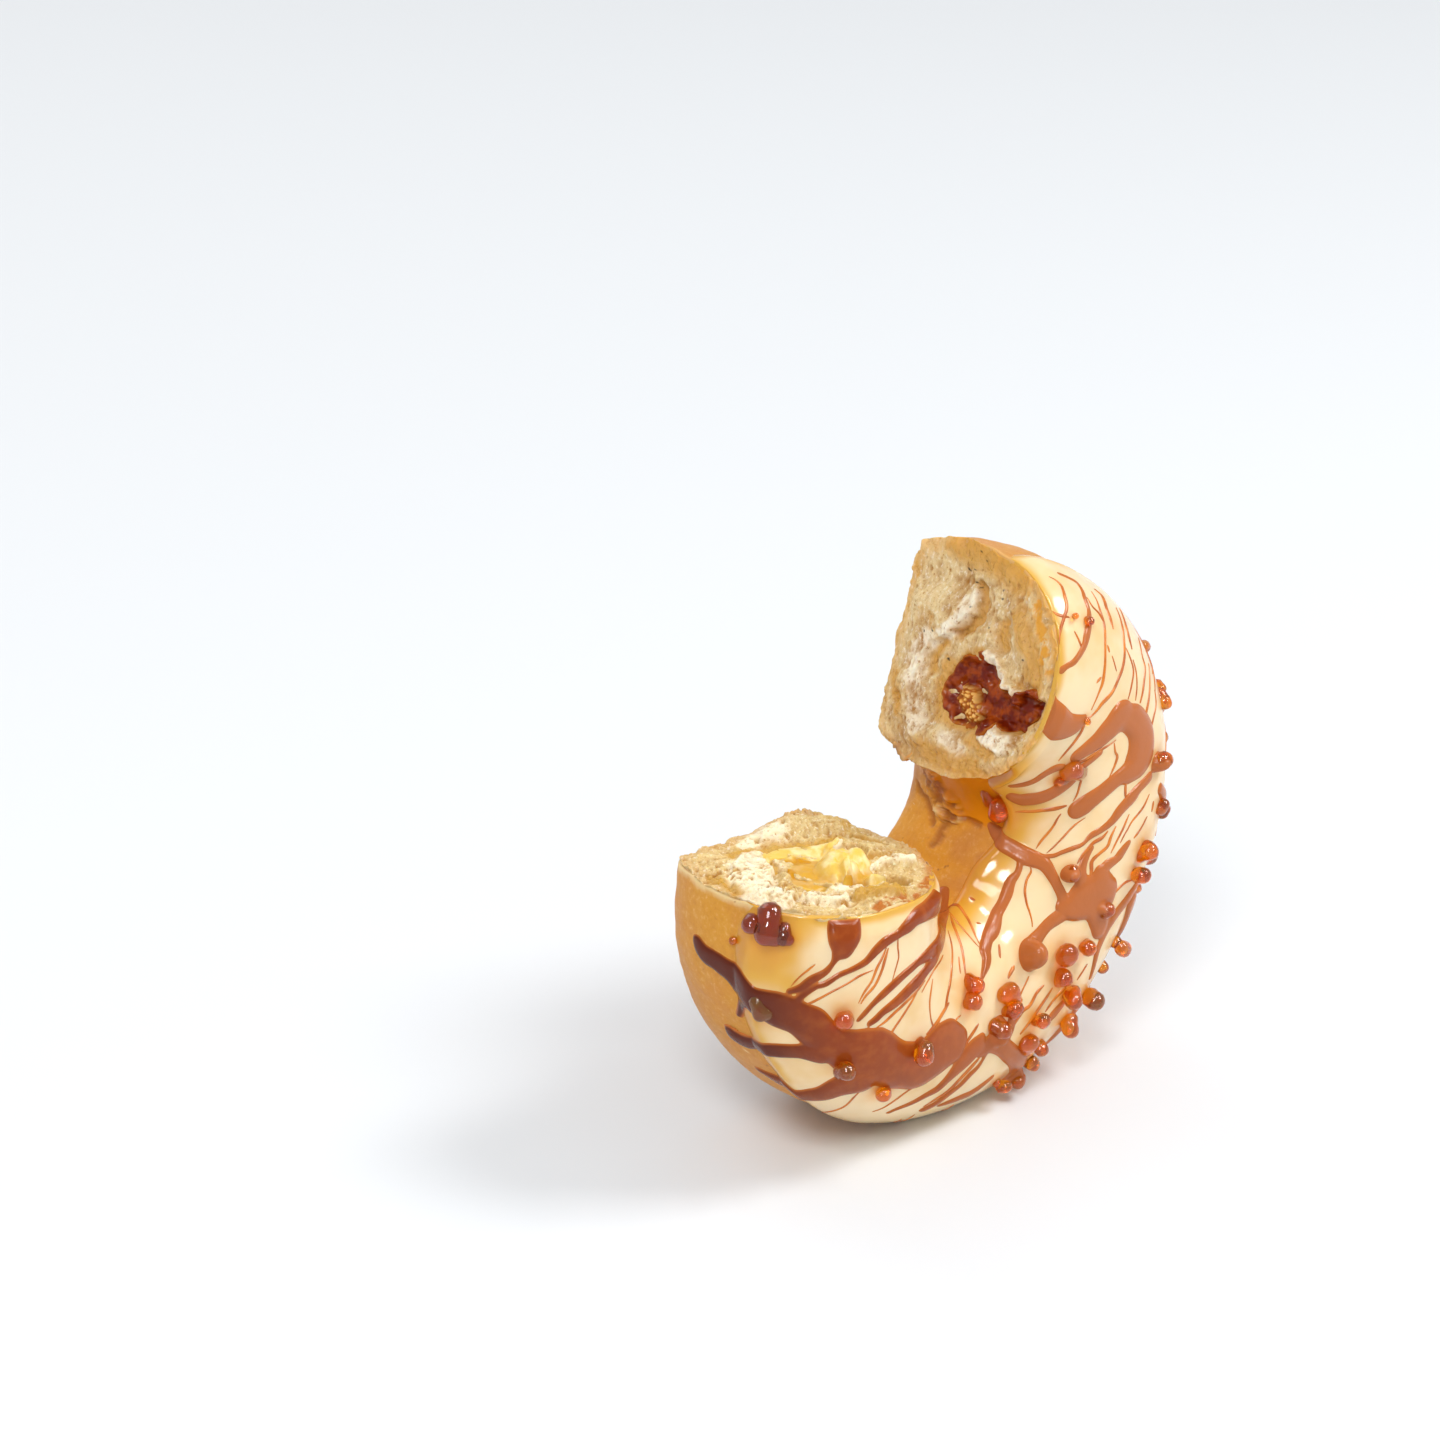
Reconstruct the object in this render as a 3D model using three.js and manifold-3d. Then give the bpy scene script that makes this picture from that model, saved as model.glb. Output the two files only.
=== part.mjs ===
// A filled ring doughnut, torn open and stood on its rim.
// About three quarters of the ring is left. Its plane is upright, the iced side faces -Y, and the gap is at
// the upper left as seen from the front. The rim has settled into a small flat spot, which it stands on.
// Four solids: the dough ring, hollow where the filling runs, two fillings that meet half way round, and the
// icing with its chocolate drizzle and caramel crunch fused to it.
// Millimetres and degrees. +Z is up. The origin is on the flat spot, below the middle of the ring where the
// tube is widest.

import * as THREE from "three";
import { mergeVertices } from "three/addons/utils/BufferGeometryUtils.js";
import Module from "manifold-3d";

const wasm = await Module();
wasm.setup();
const { Manifold } = wasm;
const { clamp, lerp, smoothstep, degToRad: rad, radToDeg: deg } = THREE.MathUtils;

// The ring
const RING_RADIUS = 46; // middle of the hole to the rim
const RING_HEIGHT = 44; // middle of the hole above the surface it stands on
const TUBE_WIDTH = 37.7; // rim to hole
const TUBE_HEIGHT = 38.9; // along the ring's axis, before the base is flattened
const SQUARENESS = 2.39; // of the tube's section: 2 is an ellipse, more is boxier
const BASE_CUT = 0.3; // share of the lower half that the flat base takes
const BASE_ROUND = 2.4; // rounding of the base's corner
const NARROWING = 0.046; // the tube narrows towards the icing
const OVAL = 1.7; // the ring is a little longer one way
const OVAL_TURN = 229.5;
const WAVER = 0.35; // unevenness of the whole surface

// The torn faces, as angles round the ring from +X, anticlockwise as seen from the front
const TORN_LOW = 173.2;
const TORN_HIGH = 432.7;
const CRATER_DEPTH = 3.6; // the crumb sinks towards the filling
const CRAG_HEIGHT = 1.7;
const CRAG_SIZES = [6.5, 2.6];

// The filling's channel in the tube's section, at each torn face
const CHANNEL_LOW = { radial: -3.2, axial: 3, half: 5.6 };
const CHANNEL_HIGH = { radial: -4.2, axial: 5, half: 6 };
const CHANNEL_START = 14; // how far round from a torn face its wall runs evenly, in degrees
const LUMP_OUT = 4.6; // how far a filling bulges out past that

// Layers, measured outwards from the ring's nominal surface
const CLEARANCE = 0.3; // between two solids that touch
const DOUGH_LEVEL = -0.4;
const ICING_LEVEL = 0.8;
const ICING_UNDERSIDE = DOUGH_LEVEL + CLEARANCE;
const ICING_SQUASHED = 1; // thickness of the icing under the flat spot
const DOUGH_LIFT = ICING_SQUASHED + 2 * CLEARANCE; // height of the dough above it

// Chocolate drizzle: the runs wide enough to stand out. Each follows a few places on the icing, given as
// the angle round the ring, the angle round the tube and the width there.
const RUN_HEIGHT = 0.75;
const RUN_SUNK = 0.45; // how deep a run's underside lies in the icing
const RUNS = [
  [[188, 12, 5], [196, 30, 9], [206, 52, 10], [216, 66, 9.5], [228, 75, 7.5], [238, 84, 5], [247, 88, 1.5]],
  [[198, 24, 5], [191, 10, 4], [187, -2, 3.6], [186, -8, 2.6]],
  [[206, 34, 4], [207, 14, 4], [211, -4, 2.4]],
  [[214, 50, 6], [218, 26, 6], [223, 6, 3]],
  [[250, 163, 2.4], [235, 154, 3.6], [218, 139, 4.6], [206, 120, 6], [202, 100, 4.4], [201, 76, 3]],
  [[187, 130, 3], [181, 124, 5], [177, 110, 4.4], [180, 92, 2.6]],
  [[174.5, 68, 5], [178, 62, 6.4], [182, 56, 3]],
  [[350, 157, 3], [341, 147, 4], [333, 135, 3.6], [324, 121, 3.4], [317, 109, 4], [312, 96, 3]],
  [[300, 106, 3], [310, 104, 5], [322, 98, 7.5], [335, 98, 3.4]],
  [[361, 96, 2.6], [366, 86, 3.4], [370, 76, 2.6]],
  [[375, 126, 3], [374, 117, 6], [379, 104, 5], [383, 89, 6], [393, 83, 6.6], [400, 94, 6], [405, 112, 3]],
  [[390, 153, 4], [389, 140, 5.6], [392, 124, 3]],
  [[384, 86, 5], [375, 75, 6], [368, 64, 3]],
  [[414, 100, 3], [422, 103, 5.4], [430, 103, 5]],
  [[276, 88, 3], [263, 82, 4], [254, 70, 3], [249, 54, 4], [252, 38, 3]],
  [[282, 84, 3], [274, 76, 6], [272, 62, 8], [280, 50, 4]],
  [[304, 76, 3], [316, 80, 4], [330, 75, 4]],
];

// Caramel crunch: the lumps that show best, as the two angles and the size, then a rule for the rest, which
// are strewn round the rim's side.
const LUMP_RISE = 0.3; // height of a lump's middle over the icing, as a share of its size
const LUMP_SPACING = 4.6;
const LUMPS = [
  [178, 24, 4.6], [197, 20, 4.4], [200, 62, 3.8], [212, 52, 4], [227, 58, 3.6], [227, 84, 4],
  [243, 110, 4.8], [267, 105, 4.6], [266, 97, 4], [285, 113, 4.4], [298, 95, 4.4], [302, 98, 3.6],
  [310, 89, 3.4], [325, 90, 3.4], [279, 83, 4], [276, 76, 3.6], [293, 80, 4.2], [341, 80, 4],
  [348, 78, 3.8], [359, 72, 4.2], [385, 60, 4], [385, 158, 4.6], [402, 117, 4.4], [314, 70, 4.2],
  [301, 72, 3.6], [274, 62, 4.4], [281, 58, 4], [288, 66, 4.2],
];
const STREWN = { count: 28, theta: [246, 412], phi: [16, 60], size: [3, 4.6] };

const steps = (count) => Array.from({ length: count + 1 }, (_, i) => i / count);
const turns = (count) => Array.from({ length: count }, (_, i) => (360 * i) / count);

// Signed power, which makes a circle boxier.
const squared = (x) => Math.sign(x) * Math.abs(x) ** (2 / SQUARENESS);

// The larger of two values, with a rounded corner between them.
function roundedMax(a, b, round) {
  const near = Math.max(round - Math.abs(a - b), 0) / round;
  return Math.max(a, b) + (near * near * round) / 4;
}

// Repeatable noise from -1 to 1 on a plane.
function hash(x, y, seed) {
  const s = Math.sin(x * 127.1 + y * 311.7 + seed * 74.7) * 43758.5453;
  return 2 * (s - Math.floor(s)) - 1;
}

function noise(x, y, seed) {
  const x0 = Math.floor(x);
  const y0 = Math.floor(y);
  const u = smoothstep(x - x0, 0, 1);
  const v = smoothstep(y - y0, 0, 1);
  const near = lerp(hash(x0, y0, seed), hash(x0 + 1, y0, seed), u);
  const far = lerp(hash(x0, y0 + 1, seed), hash(x0 + 1, y0 + 1, seed), u);
  return lerp(near, far, v);
}

// Repeatable draws from 0 to 1.
function draws(state) {
  return () => {
    state = (state * 1664525 + 1013904223) % 4294967296;
    return state / 4294967296;
  };
}

// The tube's section. phi goes round it: 0 at the rim, 90 on the icing's crest, 180 in the hole, -90 on the
// base. level is how far outside the nominal surface the place is.
function section(theta, phi, level) {
  const out = level + WAVER * Math.sin(rad(3 * theta + 2 * phi)) * Math.sin(rad(2 * theta + 50));
  const axial = squared(Math.sin(rad(phi)));
  const radial = squared(Math.cos(rad(phi))) * (1 - NARROWING * axial) * (TUBE_WIDTH / 2 + out);
  const base = (-TUBE_HEIGHT / 2) * (1 - BASE_CUT) - out;
  return { radial, axial: roundedMax(axial * (TUBE_HEIGHT / 2 + out), base, BASE_ROUND) };
}

const middleRadius = (theta) => RING_RADIUS - TUBE_WIDTH / 2 + OVAL * Math.cos(2 * rad(theta - OVAL_TURN));

// A place in the tube's section, at theta round the ring, as a point no lower than floor.
function place(theta, { radial, axial }, floor = -Infinity) {
  const r = middleRadius(theta) + radial;
  const z = RING_HEIGHT + r * Math.sin(rad(theta));
  return new THREE.Vector3(r * Math.cos(rad(theta)), -axial, Math.max(z, floor));
}

const onSurface = (theta, phi, level, floor) => place(theta, section(theta, phi, level), floor);

// The icing's two edges wander: one beside the rim and one inside the hole, which draws back near the tear.
const icingRimEdge = (theta) => 11 + 3 * Math.sin(rad(3.1 * theta + 40)) + 2.5 * Math.sin(rad(7.3 * theta));
const icingHoleEdge = (theta) => 161 + 3 * Math.sin(rad(2.7 * theta)) - 28 * smoothstep(theta, 408, 432);

// A closed solid from points and triangles, turned faces out if need be.
function solid(points, triangles) {
  const vertProperties = new Float32Array(points.flatMap((p) => [p.x, p.y, p.z]));
  const build = (faces) => {
    const triVerts = new Uint32Array(faces.flat());
    return new Manifold(new wasm.Mesh({ numProp: 3, vertProperties, triVerts }));
  };
  const made = build(triangles);
  return made.volume() > 0 ? made : build(triangles.map(([a, b, c]) => [a, c, b]));
}

const quad = (a, b, c, d) => [[a, b, c], [a, c, d]];

// The quads between two rings of points that start at the indices from and to.
const band = (from, to, n) =>
  turns(n).flatMap((_, j) => quad(from + j, to + j, to + ((j + 1) % n), from + ((j + 1) % n)));

// Rings of points joined in a loop, as a tyre's are.
function loopOfRings(rings) {
  const n = rings[0].length;
  const bands = rings.flatMap((_, i) => band(i * n, ((i + 1) % rings.length) * n, n));
  return solid(rings.flat(), bands);
}

// Rings of points in a row, closed by a point at each end.
function rowOfRings(start, rings, end) {
  const n = rings[0].length;
  const last = (rings.length - 1) * n;
  const apex = rings.length * n;
  const bands = rings.slice(1).flatMap((_, i) => band(i * n, (i + 1) * n, n));
  const caps = turns(n).flatMap((_, j) => {
    const next = (j + 1) % n;
    return [[apex, j, next], [apex + 1, last + next, last + j]];
  });
  return solid([...rings.flat(), start, end], [...bands, ...caps]);
}

// A face and its underside, as two like grids of points, closed along their edges.
function thickSheet(face, underside) {
  const rings = face.map((row, i) => [...row, ...underside[i].toReversed()]);
  const n = rings[0].length;
  const last = (rings.length - 1) * n;
  const bands = rings.slice(1).flatMap((_, i) => band(i * n, (i + 1) * n, n));
  const ends = face[0].slice(1).flatMap((_, j) => [
    ...quad(j, j + 1, n - 2 - j, n - 1 - j),
    ...quad(last + j, last + n - 1 - j, last + n - 2 - j, last + j + 1),
  ]);
  return solid(rings.flat(), [...bands, ...ends]);
}

// Torn crumb: the angle round the ring of a place in a torn face, which is cratered and craggy.
// depth is 0 at the channel and 1 at the skin.
function tornAngle(torn, { radial, axial }, depth) {
  const [coarse, fine] = CRAG_SIZES.map((size) => noise(radial / size, axial / size, torn));
  const crater = -CRATER_DEPTH * (1 - smoothstep(depth, 0, 0.5));
  const relief = crater + CRAG_HEIGHT * (coarse + 0.4 * fine) * (1 - 0.5 * depth);
  const turn = deg(relief / (middleRadius(torn) + radial + 6));
  return torn === TORN_LOW ? torn - turn : torn + turn;
}

// The channel's wall at theta, or a place on the way in from it: reach 1 is the wall and 0 the middle.
function channel(theta, phi, clearance = 0, reach = 1) {
  const ease = smoothstep(theta, TORN_LOW, TORN_HIGH);
  const half = (lerp(CHANNEL_LOW.half, CHANNEL_HIGH.half, ease) - clearance) * reach;
  return {
    radial: lerp(CHANNEL_LOW.radial, CHANNEL_HIGH.radial, ease) + half * Math.cos(rad(phi)),
    axial: lerp(CHANNEL_LOW.axial, CHANNEL_HIGH.axial, ease) + half * Math.sin(rad(phi)),
  };
}

// The wall and the fillings both have their rings of points here, so that they lie evenly side by side.
const STATIONS = steps(12).map((share) => lerp(TORN_LOW + CHANNEL_START, TORN_HIGH - CHANNEL_START, share));

// The dough's places round the tube. Two of them run beside the icing's edge: at the first the dough still
// rests on the ground, and from the second on it is lifted by the icing under it.
const BESIDE_ICING = [-5, -1];
const doughPlaces = (theta) =>
  turns(32).map((phi, j) => (j in BESIDE_ICING ? icingRimEdge(theta) + BESIDE_ICING[j] : phi));

// A place in a torn face: depth is 0 at the channel's mouth and 1 at the skin.
function tornPlace(torn, phi, depth) {
  const skin = section(torn, phi, DOUGH_LEVEL);
  const mouth = channel(torn, phi);
  const radial = lerp(mouth.radial, skin.radial, depth);
  const axial = lerp(mouth.axial, skin.axial, depth);
  const spot = { radial, axial };
  return { spot, theta: tornAngle(torn, spot, depth) };
}

// The dough: skin, one torn face, the channel's wall and the other torn face, as one loop of rings.
function dough() {
  const starts = doughPlaces(TORN_LOW).map((phi) => tornPlace(TORN_LOW, phi, 1).theta);
  const ends = doughPlaces(TORN_HIGH).map((phi) => tornPlace(TORN_HIGH, phi, 1).theta);
  const skin = steps(42).map((share) =>
    doughPlaces(lerp(TORN_LOW, TORN_HIGH, share)).map((phi, j) => {
      const lifted = j > 0 && phi < 180;
      return onSurface(lerp(starts[j], ends[j], share), phi, DOUGH_LEVEL, lifted ? DOUGH_LIFT : 0);
    }),
  );
  const tornFace = (torn) =>
    steps(8).slice(0, -1).map((depth) =>
      doughPlaces(torn).map((phi) => {
        const { spot, theta } = tornPlace(torn, phi, depth);
        return place(theta, spot);
      }),
    );
  const wall = STATIONS.map((theta) => doughPlaces(theta).map((phi) => place(theta, channel(theta, phi))));
  return loopOfRings([
    ...skin,
    ...tornFace(TORN_HIGH).toReversed(),
    ...wall.toReversed(),
    ...tornFace(TORN_LOW),
  ]);
}

// A filling: it fills the channel from the station nearest its torn face to half way round, where the two
// fillings meet, and bulges out of the mouth as a soft lump.
function filling(torn) {
  const around = turns(20);
  const half = (STATIONS.length - 1) / 2;
  const low = torn === TORN_LOW;
  const stations = low ? STATIONS.slice(0, half + 1) : STATIONS.slice(half).toReversed();
  const mouth = stations[0];
  const perMm = deg(1 / middleRadius(mouth)) * (low ? -1 : 1);
  stations[half] += (perMm * CLEARANCE) / 2;
  const body = stations.map((theta) => around.map((phi) => place(theta, channel(theta, phi, CLEARANCE))));
  const lump = [0.5, 0.76, 0.9].map((reach, i) =>
    around.map((phi) => {
      const swell = 1 + 0.12 * noise(phi / 60, i + 0.5, torn);
      const out = LUMP_OUT * Math.sqrt(1 - reach ** 2) * swell;
      return place(mouth + perMm * out, channel(mouth, phi, CLEARANCE, reach * swell));
    }),
  );
  const middle = (theta) => place(theta, channel(theta, 0, 0, 0));
  return rowOfRings(middle(mouth + perMm * LUMP_OUT), [...lump, ...body], middle(stations[half]));
}

// The icing's own coat: a sheet that hangs over the ring from the rim's side into the hole.
function icingCoat() {
  const grid = (level, floor) =>
    steps(42).map((share) =>
      steps(14).map((across) => {
        const drawnBack = 0.9 + 0.5 * noise(7 * across, 2 * share, 5);
        const theta = lerp(TORN_LOW + drawnBack, TORN_HIGH - drawnBack, share);
        const phi = lerp(icingRimEdge(theta), icingHoleEdge(theta), across);
        return onSurface(theta, phi, level, floor);
      }),
    );
  return thickSheet(grid(ICING_LEVEL, 0), grid(ICING_UNDERSIDE, ICING_SQUASHED));
}

// A run of chocolate: a low ribbon with rounded shoulders, tapered at its ends. across gives places from one
// side of its top to the other, with how high each stands, and under gives those of its underside.
function chocolateRun(route) {
  const across = [[-1, -0.1], [-0.6, 1], [0.6, 1], [1, -0.1]];
  const under = [0.6, -0.6];
  const curve = new THREE.CatmullRomCurve3(route.map((at) => new THREE.Vector3(...at)));
  const rings = steps(Math.round(route.length * 1.5) + 1).map((t) => {
    const { x: theta, y: phi, z: width } = curve.getPoint(t);
    const ahead = curve.getTangent(t);
    const mmPerTheta = rad(middleRadius(theta) + section(theta, phi, 0).radial);
    const mmPerPhi = rad(TUBE_WIDTH / 2);
    const length = Math.hypot(ahead.x * mmPerTheta, ahead.y * mmPerPhi);
    const taper = 0.35 + 0.65 * Math.min(1, 6 * t, 6 * (1 - t));
    const half = (width / 2) * taper;
    const height = RUN_HEIGHT * clamp(half / 1.6, 0.5, 1) * taper;
    const sideTheta = (-ahead.y * mmPerPhi) / length / mmPerTheta;
    const sidePhi = (ahead.x * mmPerTheta) / length / mmPerPhi;
    const beside = (side, level, floor) =>
      onSurface(theta + side * half * sideTheta, phi + side * half * sidePhi, level, floor);
    return [
      ...across.map(([side, rise]) => beside(side, ICING_LEVEL + rise * height, 0)),
      ...under.map((side) => beside(side, ICING_LEVEL - RUN_SUNK, ICING_SQUASHED / 2)),
    ];
  });
  const [start, end] = [0, 1].map((t) => {
    const { x: theta, y: phi } = curve.getPoint(t);
    return onSurface(theta, phi, ICING_LEVEL);
  });
  return rowOfRings(start, rings, end);
}

// The strewn lumps are drawn one by one, and kept where they are clear of the others and of the ground.
function crunchPlaces() {
  const draw = draws(11);
  const between = ([low, high]) => lerp(low, high, draw());
  const lumps = LUMPS.map(([theta, phi, size]) => {
    return { theta, phi, size, at: onSurface(theta, phi, ICING_LEVEL) };
  });
  while (lumps.length < LUMPS.length + STREWN.count) {
    const [theta, phi, size] = [STREWN.theta, STREWN.phi, STREWN.size].map(between);
    const at = onSurface(theta, phi, ICING_LEVEL);
    const clear = at.z > size && lumps.every((other) => other.at.distanceTo(at) > LUMP_SPACING);
    if (clear) lumps.push({ theta, phi, size, at });
  }
  return lumps;
}

function crunchLump({ theta, phi, size }, i) {
  const lump = new THREE.IcosahedronGeometry(size / 2, 0);
  lump.scale(1, 0.9 + 0.25 * Math.abs(hash(i, 1, 3)), 1.12);
  lump.rotateX(3 * hash(i, 2, 3));
  lump.rotateZ(3 * hash(i, 3, 3));
  lump.translate(...onSurface(theta, phi, ICING_LEVEL + size * LUMP_RISE));
  lump.deleteAttribute("normal");
  lump.deleteAttribute("uv");
  const { attributes, index } = mergeVertices(lump);
  const triVerts = new Uint32Array(index.array);
  return new Manifold(new wasm.Mesh({ numProp: 3, vertProperties: attributes.position.array, triVerts }));
}

// The icing as one body: what the joining leaves loose or walled in is dropped.
function icing() {
  const toppings = [...RUNS.map(chocolateRun), ...crunchPlaces().map(crunchLump)];
  const joined = toppings.reduce((all, topping) => all.add(topping), icingCoat());
  return joined.decompose().reduce((best, each) => (each.volume() > best.volume() ? each : best));
}

// A solid as a named mesh with its own finish.
function piece(name, shape, color, roughness) {
  const { vertProperties, triVerts } = shape.getMesh();
  const geometry = new THREE.BufferGeometry();
  geometry.setAttribute("position", new THREE.BufferAttribute(vertProperties, 3));
  geometry.setIndex(new THREE.BufferAttribute(triVerts, 1));
  geometry.computeVertexNormals();
  const mesh = new THREE.Mesh(geometry, new THREE.MeshStandardMaterial({ color, roughness, metalness: 0 }));
  mesh.name = name;
  return mesh;
}

const doughnut = new THREE.Group();
doughnut.add(piece("dough", dough(), "#dda55c", 0.7));
doughnut.add(piece("custard_filling", filling(TORN_LOW), "#f3d35a", 0.35));
doughnut.add(piece("caramel_filling", filling(TORN_HIGH), "#8a3f12", 0.3));
doughnut.add(piece("icing", icing(), "#f6e2b4", 0.3));

export default doughnut;
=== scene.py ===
import bmesh
import bpy
import numpy as np
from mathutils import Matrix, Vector


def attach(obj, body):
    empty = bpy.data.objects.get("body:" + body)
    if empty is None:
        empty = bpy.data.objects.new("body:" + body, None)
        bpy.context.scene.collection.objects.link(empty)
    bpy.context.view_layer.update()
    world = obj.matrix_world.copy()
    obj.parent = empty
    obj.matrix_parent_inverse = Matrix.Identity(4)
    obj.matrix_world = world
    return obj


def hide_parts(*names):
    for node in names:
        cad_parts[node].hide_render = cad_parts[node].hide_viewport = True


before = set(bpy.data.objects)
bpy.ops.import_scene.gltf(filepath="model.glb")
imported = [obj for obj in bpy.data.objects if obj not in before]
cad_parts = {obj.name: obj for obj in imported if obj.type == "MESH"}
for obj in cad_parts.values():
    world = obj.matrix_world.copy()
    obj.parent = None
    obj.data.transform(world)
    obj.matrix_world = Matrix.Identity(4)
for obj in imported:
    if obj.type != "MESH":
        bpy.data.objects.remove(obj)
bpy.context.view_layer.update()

# Dough ring
# Yeast dough fried in a ring, golden and smooth outside, flat on the side that lay down. It was torn open by
# hand, so the crust ends in two ragged lips round the crumb. It stands on its rim, pressed a little flat.

# Sizes are in mm and angles in degrees. Theta runs round the ring from +X, anticlockwise from the front. Phi
# runs round the tube: 0 on the rim, 90 on the icing, 180 in the hole and 270 on the base. One degree of it is
# PHI_MM wide. A level is a height in mm over the tube's nominal surface.
MM = 0.001
RIM = 46.0
RING_HEIGHT = 44.0
TUBE_WIDTH = 37.7
TUBE_HEIGHT = 38.9
SQUARENESS = 2.39
BASE_CUT = 0.3
BASE_ROUND = 2.4
NARROWING = 0.046
OVAL = 1.7
OVAL_TURN = 229.5
WAVER = 0.35
TORN_LOW = 173.2
TORN_HIGH = 432.7
CRUST_LEVEL = -0.4
CRUST_THICKNESS = 0.4
CRUST_ROWS, CRUST_COLUMNS = 360, 260
PHI_MM = np.radians(TUBE_WIDTH / 2)
NOISE_CIRCLE = 9.0


def smooth(x, low, high):
    """0 below low, 1 above high, and smooth between them."""
    t = np.clip((x - low) / (high - low), 0, 1)
    return t * t * (3 - 2 * t)


def mix(a, b, t):
    """a where t is 0, b where it is 1, and in proportion between."""
    return a + (b - a) * t


def power(x):
    """A sine or cosine made squarer, as the tube's section is."""
    return np.sign(x) * np.abs(x) ** (2 / SQUARENESS)


def middle_radius(theta):
    """How far the tube's middle line is from the ring's axis; the ring is slightly oval."""
    return RIM - TUBE_WIDTH / 2 + OVAL * np.cos(2 * np.radians(theta - OVAL_TURN))


def section(theta, phi, level):
    """Where the angle phi round the tube lies in its section, level mm outside its nominal surface."""
    turn, around = np.radians(theta), np.radians(phi)
    out = level + WAVER * np.sin(3 * turn + 2 * around) * np.sin(2 * turn + np.radians(50))
    axial = power(np.sin(around))
    radial = power(np.cos(around)) * (1 - NARROWING * axial) * (TUBE_WIDTH / 2 + out)
    base = -TUBE_HEIGHT / 2 * (1 - BASE_CUT) - out
    top = axial * (TUBE_HEIGHT / 2 + out)
    near = np.maximum(BASE_ROUND - np.abs(top - base), 0) / BASE_ROUND
    return radial, np.maximum(top, base) + near * near * BASE_ROUND / 4


def place(theta, radial, axial):
    """A place in the tube's section, theta degrees round the ring, as a point in millimetres."""
    r = middle_radius(theta) + radial
    turn = np.radians(theta)
    return np.stack([r * np.cos(turn), -axial + 0 * turn, RING_HEIGHT + r * np.sin(turn)], -1)


def surface(theta, phi, level, floor=0.0):
    """Points on the tube, in mm, none of them below the floor."""
    points = place(theta, *section(theta, phi, level))
    points[..., 2] = np.maximum(points[..., 2], floor)
    return points


def hashed(x, y, z, seed):
    """A repeatable value from 0 to 1 for each cell of a lattice."""
    h = x.astype(np.int64) * 73856093 ^ y.astype(np.int64) * 19349663 ^ z.astype(np.int64) * 83492791
    h = (h ^ seed * 2654435761) & 0xFFFFFFFF
    for _ in range(2):
        h = ((h ^ (h >> 16)) * 0x45D9F3B) & 0xFFFFFFFF
    return (h ^ (h >> 16)) / 4294967296


def lumps(points, size, seed):
    """Soft noise from -1 to 1 whose lumps are size mm wide."""
    cell = np.floor(points / size)
    part = points / size - cell
    part = part * part * (3 - 2 * part)
    total = 0
    for corner in np.ndindex(2, 2, 2):
        share = np.prod(np.where(corner, part, 1 - part), axis=-1)
        x, y, z = np.moveaxis(cell + corner, -1, 0)
        total = total + share * hashed(x, y, z, seed)
    return 2 * total - 1


def layered(points, size, seed, layers=4, fall=0.65):
    """Noise of several sizes, each half the last one's and fainter."""
    return sum(fall**k * lumps(points, size / 2**k, seed + 31 * k) for k in range(layers))


def on_ring(phi):
    """Points on a circle, so that noise along it closes on itself."""
    around = np.radians(phi)
    return np.stack([NOISE_CIRCLE * np.cos(around), NOISE_CIRCLE * np.sin(around), 0 * around], -1)


def torn_lip(torn, phi):
    """How far the crust's torn edge stands out along the ring, in mm."""
    seed = int(torn)
    ragged = 0.6 * lumps(on_ring(phi), 5.0, seed) + 0.4 * lumps(on_ring(phi), 1.4, seed + 1)
    ragged = ragged + 0.2 * lumps(on_ring(phi), 0.5, seed + 2)
    if torn == TORN_LOW:
        turned = np.mod(phi, 360)
        peak = 2.0 * np.exp(-(((turned - 238) / 22) ** 2)) - 0.7 * np.exp(-(((turned - 190) / 20) ** 2))
        return ragged + peak
    return ragged


def away(torn):
    """The direction along the ring that a torn face looks in."""
    turn = np.radians(torn)
    sign = -1 if torn == TORN_LOW else 1
    return sign * np.array([-np.sin(turn), 0, np.cos(turn)])


def grid_piece(name, points, closed=False, **attributes):
    """A smooth sheet through a grid of points in mm; closed joins its last column to its first."""
    rows, columns = points.shape[:2]
    index = np.arange(rows * columns).reshape(rows, columns)
    right = np.roll(index, -1, axis=1)
    width = columns if closed else columns - 1
    quads = np.stack([index[:-1], index[1:], right[1:], right[:-1]], -1)[:, :width].reshape(-1, 4)
    return mesh_piece(name, points.reshape(-1, 3), quads.tolist(), **attributes)


def mesh_piece(name, points, faces, **attributes):
    """A smooth mesh piece from points in mm, with a number per vertex for each attribute."""
    mesh = bpy.data.meshes.new(name)
    mesh.from_pydata((np.asarray(points) * MM).tolist(), [], faces)
    mesh.shade_smooth()
    for label, values in attributes.items():
        layer = mesh.attributes.new(label, "FLOAT", "POINT")
        layer.data.foreach_set("value", np.asarray(values, np.float32).ravel())
    piece = bpy.data.objects.new(name, mesh)
    bpy.context.scene.collection.objects.link(piece)
    return piece


def linear(hex_colour):
    """An sRGB hex colour as linear red, green, blue and alpha."""
    channels = [int(hex_colour[i : i + 2], 16) / 255 for i in (1, 3, 5)]
    return [c / 12.92 if c <= 0.04045 else ((c + 0.055) / 1.055) ** 2.4 for c in channels] + [1.0]


def new_material(name, constants):
    """A material, its tree and its shader, with what is the same all over set on the shader's own sockets."""
    material = bpy.data.materials.new(name)
    material.use_nodes = True
    shader = material.node_tree.nodes["Principled BSDF"]
    for key, value in constants.items():
        shader.inputs[key].default_value = value
    return material, material.node_tree, shader


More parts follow.
